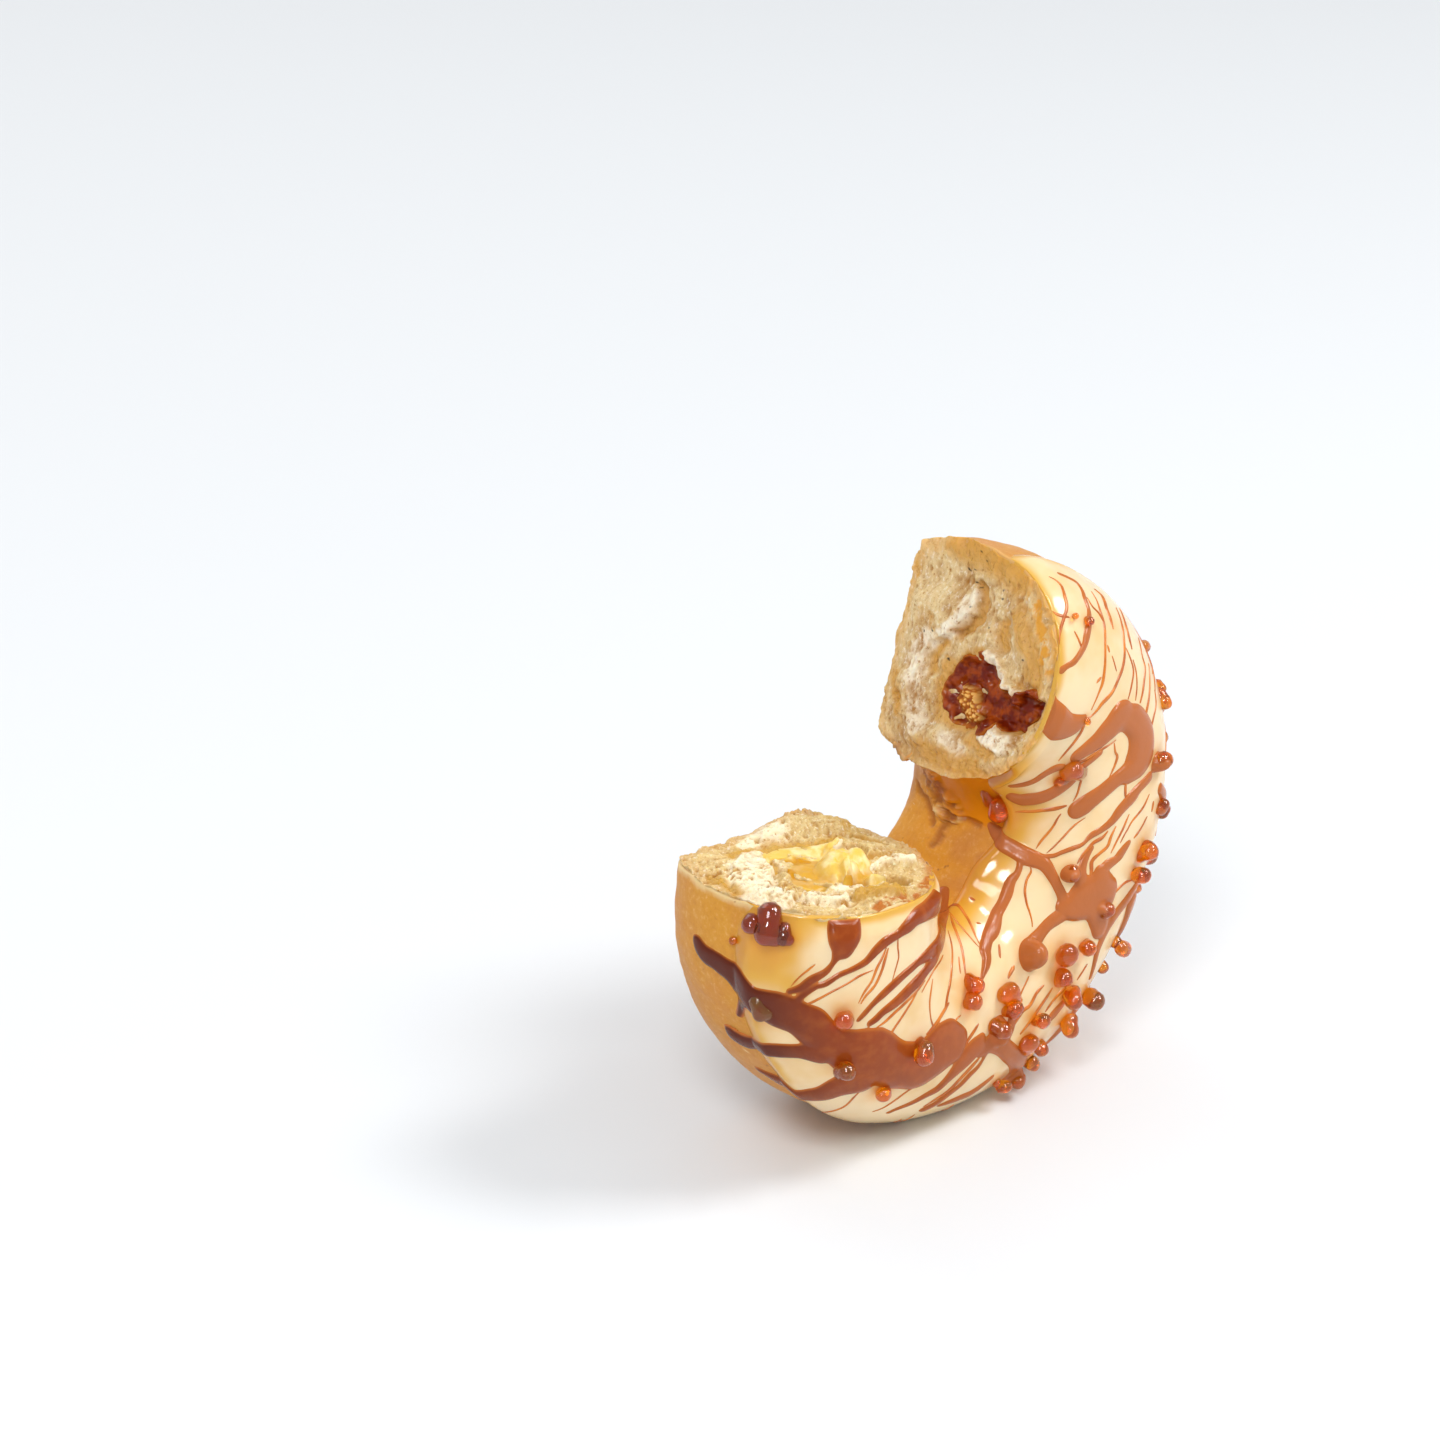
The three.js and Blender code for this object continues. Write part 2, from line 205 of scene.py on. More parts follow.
def add(tree, kind, settings=None, inputs=None):
    """A node with its settings, and its inputs as values or as sockets to link from."""
    made = tree.nodes.new(kind)
    for key, value in (settings or {}).items():
        setattr(made, key, value)
    for key, value in (inputs or {}).items():
        if isinstance(value, bpy.types.NodeSocket):
            tree.links.new(value, made.inputs[key])
        else:
            made.inputs[key].default_value = value
    return made


def blend_colours(tree, share, first, second):
    """first where share is 0 and second where it is 1; each is a hex colour or a socket."""
    colours = [linear(c) if isinstance(c, str) else c for c in (first, second)]
    made = add(tree, "ShaderNodeMix", {"data_type": "RGBA"}, {"Factor": share, 6: colours[0], 7: colours[1]})
    return made.outputs[2]


def ramp(tree, value, low, high):
    """0 below low and 1 above high."""
    settings = {"interpolation_type": "SMOOTHSTEP"}
    made = add(tree, "ShaderNodeMapRange", settings, {"Value": value, "From Min": low, "From Max": high})
    return made.outputs["Result"]


def pattern(tree, kind, size, **inputs):
    """A noise or Voronoi texture on Object coordinates whose cells are size mm wide."""
    where = add(tree, "ShaderNodeTexCoord").outputs["Object"]
    return add(tree, kind, None, {"Vector": where, "Scale": 1 / (size * MM), **inputs}).outputs[0]


def bumped(tree, shader, height, depth):
    """The relief of height, depth mm deep, on a shader."""
    bump = add(tree, "ShaderNodeBump", None, {"Height": height, "Distance": depth * MM, "Strength": 1.0})
    tree.links.new(bump.outputs["Normal"], shader.inputs["Normal"])


def attribute(tree, name):
    """A piece's own number per vertex."""
    return add(tree, "ShaderNodeAttribute", {"attribute_name": name}).outputs["Fac"]


# Fried crust is barely glossy. It is palest beside the icing, deeper gold in the hole and on the base, and
# finely mottled by the oil. Away from the lower tear it is painted darker as shade, and its creases are
# painted dark as shade. In the hole below the upper tear it is wet with syrup, and the torn edge is pale.
crust, tree, shader = new_material(
    "fried_dough_crust",
    {
        "IOR": 1.45,
        "Specular IOR Level": 0.3,
        "Subsurface Weight": 0.2,
        "Subsurface Radius": (1.0, 0.55, 0.25),
        "Subsurface Scale": 1.5 * MM,
    },
)
browning_and_shade, wet = attribute(tree, "browning_and_shade"), attribute(tree, "wet")
mottle = pattern(tree, "ShaderNodeTexNoise", 7.0, Detail=3.0, Roughness=0.5)
grain = pattern(tree, "ShaderNodeTexNoise", 0.9, Detail=5.0, Roughness=0.7)
golden = blend_colours(tree, attribute(tree, "in_hole"), "#D4942F", "#DE9A2A")
# Painted shade: the crust is painted darker brown away from the lower tear, besides its real browning on the
# base.
golden = blend_colours(tree, browning_and_shade, golden, "#C27C2C")
golden = blend_colours(tree, ramp(tree, mottle, 0.4, 0.75), golden, "#CC8836")
golden = blend_colours(tree, ramp(tree, grain, 0.5, 0.95), golden, "#B86E28")
golden = blend_colours(tree, ramp(tree, grain, 0.5, 0.05), golden, "#EFC684")
golden = blend_colours(tree, wet, golden, "#DE8A12")
# Painted shade: the creases and the low hollows of the flap are painted dark brown.
golden = blend_colours(tree, attribute(tree, "crease_and_shade"), golden, "#A0581C")
golden = blend_colours(tree, attribute(tree, "torn"), golden, "#EBD09A")
specks = pattern(tree, "ShaderNodeTexNoise", 1.7, Detail=2.0)
golden = blend_colours(tree, ramp(tree, specks, 0.7, 0.8), golden, "#A8662E")
tree.links.new(golden, shader.inputs["Base Color"])
gloss = add(tree, "ShaderNodeMapRange", None, {"Value": wet, "To Min": 0.42, "To Max": 0.2}).outputs["Result"]
tree.links.new(gloss, shader.inputs["Roughness"])
bumped(tree, shader, grain, 0.07)


def near_path(places, path, half, edge):
    """1 within half mm of a path through flat places, falling to 0 over edge mm more."""
    nearest = np.full(places.shape[:-1], 99.0)
    for a, b in zip(path, path[1:] or path):
        a, b = np.array(a, float), np.array(b, float)
        along = np.clip(((places - a) @ (b - a)) / ((b - a) @ (b - a) + 1e-9), 0, 1)
        nearest = np.minimum(nearest, np.linalg.norm(places - a - along[..., None] * (b - a), axis=-1))
    return 1 - smooth(nearest, half, half + edge)


# Where the upper tear pulled at the hole's wall a flap of crust has folded over, with creases beside it. Each
# path is in theta and phi.
HOLE_MM = np.radians(RIM - TUBE_WIDTH)
FLAP = [(428, 200), (410, 197), (385, 195), (375, 191), (365, 186), (358, 183)]
CREASES = [
    [(358, 185), (355, 182), (354, 178), (354, 174), (355, 169)],
    [(354, 182), (345, 182), (335, 183), (327, 182), (317, 183), (311, 184)],
    [(364, 207), (357, 199), (347, 192), (336, 188)],
]


def in_the_hole(theta, phi):
    """The hole's wall laid flat, in mm."""
    turned = np.mod(phi, 360) + 0 * theta
    return np.stack([(theta + 0 * turned) * HOLE_MM, turned * PHI_MM], -1)


def laid_flat(path):
    """A path on the hole's wall in the same flat millimetres."""
    return [(t * HOLE_MM, p * PHI_MM) for t, p in path]


around = np.linspace(0, 360, CRUST_COLUMNS, endpoint=False)
rows = np.linspace(0, 1, CRUST_ROWS)[:, None]
middle = mix(TORN_LOW, TORN_HIGH, 0.5)
per_mm = np.degrees(1 / (middle_radius(middle) + section(middle, around, 0)[0] + 4))
starts = TORN_LOW - torn_lip(TORN_LOW, around) * per_mm
ends = TORN_HIGH + torn_lip(TORN_HIGH, around) * per_mm
theta = mix(starts, ends, rows)
phi = np.broadcast_to(around, theta.shape)
wall = in_the_hole(theta, phi)
wall = wall + 0.35 * np.stack([layered(surface(theta, phi, 0), 2.4, 81 + k) for k in (0, 1)], -1)
flap = near_path(wall, laid_flat(FLAP), 1.6, 0.6)
crease_and_shade = np.max([near_path(wall, laid_flat(path), 0.1, 0.8) for path in CREASES], axis=0) ** 1.5
flaky = layered(surface(theta, phi, 0), 1.8, 84)
ripple = 0.14 * layered(surface(theta, phi, 0), 7.0, 3)
skin = surface(theta, phi, CRUST_LEVEL + ripple + flap * (0.8 + 0.7 * flaky) - 0.4 * crease_and_shade)
tucked = ((0.3, 1.3), (0, CRUST_THICKNESS))
low_lip = [surface(starts + t * per_mm, around, CRUST_LEVEL - down) for t, down in tucked]
high_lip = [surface(ends - t * per_mm, around, CRUST_LEVEL - down) for t, down in tucked[::-1]]
skin = np.concatenate([low_lip, skin, high_lip])
in_hole = smooth(np.cos(np.radians(phi - 180)), 0.2, 0.9)
on_base = smooth(np.sin(np.radians(-phi)), -0.1, 0.8)
# Painted shade: 0 by the lower tear and 1 further down the ring, where the crust is painted darker.
shade_below_low_tear = smooth(theta, 178, 212)
browning_and_shade = 0.1 * in_hole + (1 - in_hole) * (0.5 * on_base + 0.4 * shade_below_low_tear)
beside_flap = np.interp(theta, *zip(*FLAP[::-1])) - np.mod(phi, 360)
wet = in_hole * smooth(theta, 352, 357) * smooth(beside_flap, 0, 3)
from_low, from_high = (theta - starts) / per_mm, (ends - theta) / per_mm
ragged_edge = 1.4 + 0.9 * layered(surface(theta, phi, 0), 2.0, 21)
torn_edge = 0.85 * (1 - smooth(from_low, 0, ragged_edge))
torn_edge = np.maximum(torn_edge, 0.3 * (1 - smooth(from_high, 0, ragged_edge)))


def with_lips(values):
    """The values with their first and last rows repeated for the rows of the lips."""
    return np.concatenate([values[[0, 0]], values, values[[-1, -1]]])


# Painted shade: this mark darkens the creases and the low parts of the flap.
painted_crease_shade = np.maximum(0.75 * crease_and_shade, 0.8 * flap * smooth(-flaky, 0.1, 0.7))
torn_edge = np.maximum(torn_edge, 0.7 * flap * smooth(flaky, -0.1, 0.5))
marks = {"in_hole": in_hole, "browning_and_shade": browning_and_shade, "wet": wet, "crease_and_shade": painted_crease_shade, "torn": torn_edge}
marks = {key: with_lips(value) for key, value in marks.items()}
crust_piece = grid_piece("crust", skin, closed=True, **marks)
crust_piece.data.materials.append(crust)
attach(crust_piece, "root")
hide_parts("dough")

# Torn crumb
# The soft inside of the dough, pulled apart by hand. Its bubbles are drawn out and torn, which leaves a pale
# craggy face that sinks towards the filling.
FILLING_LOW = (-3.2, 3.0)
FILLING_HIGH = (-4.2, 5.0)
FACE_COLUMNS, FACE_ROWS = 560, 168


def bubbles(points, size, seed):
    """Distance to the nearest of many scattered bubbles' middles, 0 at one and 1 about size mm away."""
    cell = np.floor(points / size)
    nearest = np.full(points.shape[:-1], 9.0)
    for step in np.ndindex(3, 3, 3):
        x, y, z = np.moveaxis(cell + step - 1.0, -1, 0)
        centre = np.stack([x, y, z], -1)
        centre = centre + np.stack([hashed(x, y, z, seed + k) for k in range(3)], -1)
        nearest = np.minimum(nearest, np.linalg.norm(points / size - centre, axis=-1))
    return np.minimum(nearest, 1)


# Each torn face's folds and clefts are paths through it, in mm outwards from the tube's middle and towards
# the icing. Forms give a path's half width, the width of its edge and its height. Soak-and-shade and pale
# marks give the first two; soak-and-shade marks are golden glaze soaked in, and along the troughs, grooves,
# clefts and pits they are painted shade. Paths that have a colour of their own as well as a height are named.
LOW_TROUGH = [(3.4, -5.2), (4.6, -1.4), (5.4, 3.0), (4.0, 7.4)]
LOW_CLEFT = [(-1.4, 9.2), (-4.5, 11), (-8, 13)]
LOW_LEFT_PIT = [(-6.5, 0.5), (-10, 1.5)]
LOW_RIM_PITS = [[(-11, 4.4), (-15.3, 7.2)], [(-14.5, -2.5), (-15.7, 0.5)]]
LOW_ICED_EDGE = [(2.5, 13.6), (-3.4, 16.2)]
LOW_SLAB = [(5.5, -5), (9.5, -3), (14, 2), (15, 7)]
LOW_LEFT_FOLD = [(-7, 6.2), (-10, 7.6), (-13.4, 10)]
LOW_RIGHT_FOLD = [(9, 9.5), (5.5, 12.5)]
LOW_TUFT = [(-7.4, -1.4), (-8.4, -1.6)]
LOW_FORMS = [
    ([(-2, -12), (-9, -12), (-14, -8)], 0.9, 3.4, 1.6),
    (LOW_SLAB, 2.6, 0.9, 1.0),
    ([(5.2, 0.5), (9, 4.2), (11, 7.5)], 0.6, 0.5, 1.0),
    (LOW_TROUGH, 0.5, 0.8, -1.4),
    (LOW_LEFT_FOLD, 0.5, 1.5, 1.5),
    (LOW_CLEFT, 0.8, 0.8, -2.8),
    (LOW_LEFT_PIT, 1.0, 1.2, -1.6),
    (LOW_TUFT, 0.5, 0.9, 1.3),
    (LOW_RIM_PITS[0], 0.4, 0.8, -1.3),
    (LOW_RIM_PITS[1], 0.8, 0.8, -1.1),
    (LOW_ICED_EDGE, 0.9, 0.6, 1.3),
    (LOW_RIGHT_FOLD, 0.9, 0.9, 1.2),
]
# Golden marks on the lower face: soaked glaze, and painted shade in its trough, cleft and pits.
LOW_SOAK_AND_SHADE = [
    (LOW_TROUGH, 0.5, 0.9),
    (LOW_LEFT_PIT, 1.0, 1.2),
    ([(-8, -5), (-11, -4)], 0.8, 1.4),
    ([(16, -4), (17, 2)], 0.4, 1.4),
    (LOW_CLEFT, 1.0, 0.8),
    (LOW_RIM_PITS[0], 0.6, 0.7),
    (LOW_RIM_PITS[1], 1.0, 0.8),
    (LOW_ICED_EDGE, 1.0, 0.8),
    ([(7, -9), (0, -8), (-6, -6)], 0.6, 1.6),
]
LOW_PALE = [
    (LOW_SLAB, 3.0, 1.5),
    (LOW_LEFT_FOLD, 0.6, 0.8),
    (LOW_RIGHT_FOLD, 1.4, 1.0),
    (LOW_TUFT, 0.5, 0.5),
    ([(2, -10), (-4, -11)], 1.4, 1.8),
    ([(-1.0, 11.4), (3, 9.4)], 0.5, 0.8),
]
LOW_PORED = [(14.6, -5), (12.5, 1), (9.5, 7)]
HIGH_GROOVE = [(12.2, -0.6), (10.0, 1.4), (8.0, 1.6), (5.2, 0.4), (3.4, -1.4)]
HIGH_SIDE_GROOVE = [(1.2, -4.2), (-0.8, -5.2), (-3.4, -5.2)]
HIGH_TUFT = [(2.8, 5.3), (1.0, 8.0), (-1.4, 8.9)]
HIGH_ICED_TUFT = [(-1.6, 9.6), (-2.2, 12.4), (-1.6, 14.9)]
HIGH_DIP = [(7.2, 6.2), (4.4, 7.6)]
HIGH_LOWER_TUFT = [(-9.2, 8.0), (-9.6, 12.6)]
HIGH_CARAMEL_BED = [(-4.2, 8.5), (-5.8, 12.2), (-3.2, 15.8)]
HIGH_FORMS = [
    (HIGH_GROOVE, 0.35, 1.0, -1.6),
    (HIGH_SIDE_GROOVE, 0.5, 1.6, -0.8),
    (HIGH_TUFT, 0.6, 0.9, 1.5),
    (HIGH_ICED_TUFT, 0.5, 0.8, 1.1),
    (HIGH_DIP, 0.7, 1.6, -1.0),
    ([(12, 8), (6, 11.6), (1, 13.6)], 0.6, 1.6, 0.7),
    (HIGH_LOWER_TUFT, 1.0, 1.4, 1.5),
    (HIGH_CARAMEL_BED, 1.7, 0.9, -2.2),
    ([(-6, -9.5), (-11, -7.0), (-14, -3.5)], 0.5, 1.3, 0.8),
    ([(-13, -9), (-15.5, 0), (-13, 10)], 1.6, 2.6, 1.1),
]
# Golden marks on the upper face: soaked glaze by the icing and round the caramel, and painted shade in its
# grooves and dip.
HIGH_SOAK_AND_SHADE = [
    ([(17.4, -5), (16.8, 3), (15.5, 8)], 1.5, 2.6),
    (HIGH_GROOVE, 0.5, 0.8),
    (HIGH_SIDE_GROOVE, 0.3, 1.2),
    ([(-1.6, -1.8), (-5.2, -2.2), (-8.8, -1.0)], 0.8, 1.6),
    (HIGH_DIP, 0.5, 1.4),
    ([(2.2, 2.8), (1.2, 4.8)], 0.4, 1.0),
    (HIGH_CARAMEL_BED, 2.0, 1.2),
    ([(-15.6, -4), (-16.4, 2), (-15.2, 8)], 0.6, 2.4),
    ([(-6, -11.8), (-12, -9)], 0.3, 1.6),
    ([(-11.6, 5.6), (-12.6, 10.6)], 0.6, 1.6),
    ([(1.4, 1.2), (-1.6, -0.6)], 0.3, 1.2),
    ([(-9.4, 0.6), (-9.9, 4.6)], 0.5, 1.0),
    ([(10, 9.5), (5, 14), (0, 15.5)], 0.8, 2.0),
]
HIGH_PALE = [
    ([(9.8, -1.0), (7.6, -0.8), (5.0, -1.9), (3.0, -3.6)], 0.8, 0.7),
    ([(1.8, -6.3), (0.2, -7.9), (-2.6, -8.4), (-5.6, -7.2), (-9.4, -6.6), (-12.4, -4.4)], 0.7, 1.3),
    (HIGH_TUFT, 0.5, 0.6),
    (HIGH_ICED_TUFT, 0.4, 0.6),
    (HIGH_LOWER_TUFT, 1.0, 1.2),
    ([(-12.6, 1), (-13.8, 4)], 0.5, 1.4),
]
HIGH_SPECKS = [
    (12.2, -1.6), (14.5, -1.9), (11.4, -0.8), (8.9, -0.2), (13.9, -2.8), (15.9, 0.4), (13.0, 5.4),
    (11.9, 5.6), (14.2, 6.0), (3.2, -5.6), (2.0, -7.4), (3.6, 12.5), (0.1, 5.6), (-0.7, -2.6),
    (17.4, -1.2), (6.2, 3.8),
]
# How each face tore: half the width and the depth of the hollow round its filling, how far its bubbles are
# drawn out along the section, the size of its soft lumps, and how deep its pores are.
TORN_KIND = {
    TORN_LOW: (4.4, 1.5, (1.2, 1.0, 1.0), 1.8, 0.7),
    TORN_HIGH: (3.6, 2.0, (1.5, 0.8, 1.0), 2.6, 0.35),
}


def plateau(flat):
    """The upper face's side towards the base, which the tear left standing, with a sharp edge."""
    outward, towards_icing = flat[..., 0], flat[..., 1]
    along = [-9.8, -6.2, -4.6, -2.5, 0.2, 1.7, 2.9, 5.0, 7.9, 9.6, 11.0, 13.0]
    across = [-5.2, -4.9, -6.4, -7.4, -6.9, -5.5, -2.8, -0.7, 0.4, 0.3, -0.8, -3.2]
    edge = np.interp(outward, along, across)
    standing = smooth(outward, -11, -7) * (1 - smooth(outward, 7.5, 11))
    return smooth(edge - towards_icing, -0.3, 0.5) * standing * (0.55 + 0.45 * smooth(outward, 0, 4))


def in_space(flat):
    """Flat places with a third coordinate, as the noise needs."""
    return np.concatenate([flat, 0 * flat[..., :1]], -1)


def crumb_relief(torn, flat, forms):
    """Torn crumb's coarse forms and fine relief in mm at flat places of its section, and its warped places.

    Both stand out from the section, along the ring.
    """
    hollow_half, hollow_depth, drawn_out, soft_size, pore_depth = TORN_KIND[torn]
    seed = int(torn)
    deep = in_space(flat)
    ragged = flat + 0.55 * np.stack([lumps(deep, 1.8, seed + k) for k in (5, 6)], -1)
    ragged = ragged + 0.2 * np.stack([lumps(deep, 0.7, seed + k) for k in (7, 8)], -1)
    coarse = 0.8 * lumps(deep, 6.5, seed) + 0.3
    for path, half, edge, height in forms:
        coarse = coarse + height * near_path(ragged, path, half, edge)
    filling = FILLING_LOW if torn == TORN_LOW else FILLING_HIGH
    coarse = coarse - hollow_depth * near_path(ragged, [filling], hollow_half, 3.6)
    if torn == TORN_HIGH:
        coarse = coarse + 1.8 * plateau(ragged) - 0.4
    turned = deep + 0.9 * np.stack([lumps(deep, 4.0, seed + k) for k in (11, 12, 13)], -1)
    drawn = turned / np.array(drawn_out)
    soft = layered(drawn, soft_size, seed + 2, 5)
    torn_threads = 1 - 2 * np.abs(layered(drawn, 1.1, seed + 4, 2))
    pores = 1 - smooth(bubbles(drawn, 1.5, seed), 0.1, 0.45)
    pores = pores * smooth(lumps(deep, 5.0, seed + 16), -0.3, 0.4)
    small_pores = 1 - smooth(bubbles(deep, 0.8, seed + 9), 0.1, 0.5)
    small_pores = small_pores * smooth(lumps(deep, 3.0, seed + 17), -0.5, 0.5)
    detail = 0.32 * soft + 0.12 * torn_threads - pore_depth * (0.75 * pores + 0.4 * small_pores)
    if torn == TORN_LOW:
        rows_of_pores = 1 - smooth(bubbles(deep / np.array([1.6, 1.0, 1.0]), 0.85, seed + 41), 0.2, 0.55)
        detail = detail - 0.6 * rows_of_pores * near_path(ragged, LOW_PORED, 2.4, 2.4)
    return coarse, detail, ragged


def torn_face(torn, filling, forms):
    """A torn face's points, its fine relief, its warped flat places, and how near the rim each point is.

    The crumb hangs a little over the crust's torn edge, unevenly, and its last row turns down inside it.
    """
    phi = np.linspace(0, 360, FACE_COLUMNS, endpoint=False)
    depth = np.linspace(1, 0, FACE_ROWS)[:, None] ** 0.75
    depth = np.concatenate([depth[:1] - 0.03, depth])
    over = 0.1 + 0.5 * layered(on_ring(phi), 2.4, int(torn) + 51, 3)
    rim = section(torn, phi, CRUST_LEVEL + np.clip(over, -0.3, 0.6))
    flat = np.stack([mix(filling[0], rim[0], depth), mix(filling[1], rim[1], depth)], -1)
    coarse, detail, ragged = crumb_relief(torn, flat, forms)
    near_rim = smooth(depth, 0.8, 1.0)
    relief = mix(coarse, torn_lip(torn, phi) + 0.3, near_rim) + detail
    relief[0] -= 1.3
    points = place(torn, flat[..., 0], flat[..., 1]) + relief[..., None] * away(torn)
    return points, detail, ragged, depth + 0 * detail


# Crumb scatters light like bread. Its torn ridges are palest and its pits are painted darker gold as shade,
# mottled as finely as its cells. It is glossy and yellow where glaze and filling have soaked in, its grooves
# and hollows are painted golden-brown as shade, and it is golden all the way to the crust.
def crumb_material(name, ridge, gold_and_pit_shade, pale, soak_and_shade, toasted, drawn_out):
    material, tree, shader = new_material(
        name,
        {
            "Specular IOR Level": 0.3,
            "Subsurface Weight": 0.5,
            "Subsurface Radius": (1.0, 0.85, 0.5),
            "Subsurface Scale": 0.6 * MM,
        },
    )
    where = add(tree, "ShaderNodeTexCoord").outputs["Object"]
    drawn = {0: where, 1: (1, 1, drawn_out)}
    where = add(tree, "ShaderNodeVectorMath", {"operation": "MULTIPLY"}, drawn).outputs[0]
    fibres = pattern(tree, "ShaderNodeTexNoise", 0.7, Vector=where, Detail=5.0, Roughness=0.75)
    cells = pattern(tree, "ShaderNodeTexVoronoi", 0.75, Vector=where, Detail=2.0, Randomness=1.0)
    patches = pattern(tree, "ShaderNodeTexNoise", 3.6, Vector=where, Detail=4.0, Roughness=0.65)
    # Painted shade: the crumb is painted darker gold where its fine relief sinks into pits and pores.
    colour = blend_colours(tree, ramp(tree, attribute(tree, "detail"), -0.7, 0.25), gold_and_pit_shade, ridge)
    colour = blend_colours(tree, ramp(tree, patches, 0.55, 0.75), colour, soak_and_shade)
    colour = blend_colours(tree, ramp(tree, fibres, 0.52, 0.72), colour, pale)
    colour = blend_colours(tree, attribute(tree, "pale"), colour, pale)
    # Soaked glaze, and painted shade that colours the grooves and pits golden-brown.
    colour = blend_colours(tree, attribute(tree, "soak_and_shade"), colour, soak_and_shade)
    colour = blend_colours(tree, ramp(tree, fibres, 0.47, 0.3), colour, gold_and_pit_shade)
    colour = blend_colours(tree, ramp(tree, cells, 0.3, 0.12), colour, gold_and_pit_shade)
    colour = blend_colours(tree, attribute(tree, "toasted"), colour, toasted)
    colour = blend_colours(tree, attribute(tree, "speck"), colour, "#2E1A0E")
    tree.links.new(colour, shader.inputs["Base Color"])
    dry_to_wet = {"Value": attribute(tree, "gloss"), "To Min": 0.7, "To Max": 0.22}
    gloss = add(tree, "ShaderNodeMapRange", None, dry_to_wet).outputs["Result"]
    tree.links.new(gloss, shader.inputs["Roughness"])
    both = {0: fibres, 1: ramp(tree, cells, 0.0, 0.5)}
    bumped(tree, shader, add(tree, "ShaderNodeMath", {"operation": "ADD"}, both).outputs[0], 0.22)
    return material


def strongest(places, marks):
    """How near each place is to the nearest of several marked paths, 1 on one."""
    return np.max([near_path(places, *mark) for mark in marks], axis=0)


LOW_TOASTED = [([(2.6, 18.4), (-1, 18.6), (-5, 18.2)], 0.9, 0.7), ([(-8, 17.2), (-13, 14.5)], 0.5, 0.7)]
HIGH_TOASTED = [([(13.5, 11.5), (9, 15), (4, 17)], 0.4, 1.6)]
# How golden each face is at its rim, as pairs of phi and strength.
LOW_RIM = [
    (0, 0.25), (60, 0.15), (90, 0.1), (110, 0.3), (130, 0.9), (150, 0.8), (175, 0.3), (270, 0.35), (360, 0.25)
]
HIGH_RIM = [
    (0, 0.5), (60, 0.9), (90, 0.9), (140, 0.7), (170, 0.35), (230, 0.3), (270, 0.45), (320, 0.45), (360, 0.5)
]
LOW_SPECKS = [(-15.4, 11), (-14.4, 11.6), (-16.2, 10.2)]
# The colours of ridge, gold-and-pit-shade, pale, soak-and-shade and toasted crumb, and how much its pattern
# is squeezed upwards.
LOW_CRUMB = ("#DEC48A", "#B47E2A", "#FCF3D6", "#CC9C38", "#BC7024", 0.9)
HIGH_CRUMB = ("#E4CA98", "#B07A36", "#FAF0DC", "#D4A04C", "#E0A038", 0.5)

for name, torn, filling, forms, (soak_and_shade_marks, pale_marks, toasted_marks), rim, specks, colours in (
    (
        "torn_crumb_low", TORN_LOW, FILLING_LOW, LOW_FORMS,
        (LOW_SOAK_AND_SHADE, LOW_PALE, LOW_TOASTED), LOW_RIM, LOW_SPECKS, LOW_CRUMB,
    ),
    (
        "torn_crumb_high", TORN_HIGH, FILLING_HIGH, HIGH_FORMS,
        (HIGH_SOAK_AND_SHADE, HIGH_PALE, HIGH_TOASTED), HIGH_RIM, HIGH_SPECKS, HIGH_CRUMB,
    ),
):
    points, detail, ragged, depth = torn_face(torn, filling, forms)
    angle = np.linspace(0, 360, depth.shape[1], endpoint=False)
    towards_rim = smooth(depth + 0.1 * detail, 0.86, 1.0) * np.interp(angle, *zip(*rim))
    # Glaze soaked in, and painted shade along grooves and pits.
    soak_and_shade = 0.9 * strongest(ragged, soak_and_shade_marks)
    broken = smooth(layered(in_space(ragged), 1.6, 33), -0.6, 0.2)
    values = {
        "detail": detail,
        "pale": 0.85 * strongest(ragged, pale_marks) * smooth(detail, -0.6, 0.2),
        "soak_and_shade": soak_and_shade,
        "gloss": np.maximum(soak_and_shade, towards_rim),
        "toasted": np.maximum(0.9 * towards_rim, strongest(ragged, toasted_marks) * broken),
        "speck": strongest(ragged, [([at], 0.1, 0.14) for at in specks]),
    }
    if torn == TORN_LOW:
        points = points[:, ::-1]
        values = {key: value[:, ::-1] for key, value in values.items()}
    face = grid_piece(name, points, closed=True, **values)
    face.data.materials.append(crumb_material(name, *colours))
    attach(face, "root")
    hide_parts("dough")

# Custard
# Yellow custard that was piped into one side of the ring. Where the ring was torn it lies in the middle of
# the lower crumb, as a wet pool with a soft lump on it and smears round it.
FILLING_COLUMNS, FILLING_ROWS = 300, 110


def filling_sheet(torn, middle, reach, surface_height):
    """A dense sheet round a filling's middle; surface_height gives its height at flat places."""
    phi = np.linspace(0, 360, FILLING_COLUMNS, endpoint=False)
    depth = np.linspace(1, 0, FILLING_ROWS)[:, None] ** 0.75
    radial = middle[0] + reach * depth * np.cos(np.radians(phi))
    axial = middle[1] + reach * depth * np.sin(np.radians(phi))
    flat = np.stack([radial, axial], -1)
    relief, values = surface_height(flat, depth)
    points = place(torn, radial, axial) + relief[..., None] * away(torn)
    if torn == TORN_LOW:
        return points[:, ::-1], {key: value[:, ::-1] for key, value in values.items()}
    return points, values


def stretched(flat, lengthwise, angle, size, seed):
    """Folds that run at an angle in the section, lengthwise times as long as they are wide."""
    turn = np.radians(angle)
    along = flat[..., 0] * np.cos(turn) + flat[..., 1] * np.sin(turn)
    across = flat[..., 1] * np.cos(turn) - flat[..., 0] * np.sin(turn)
    return lumps(np.stack([along / lengthwise, across, 0 * along], -1), size, seed)


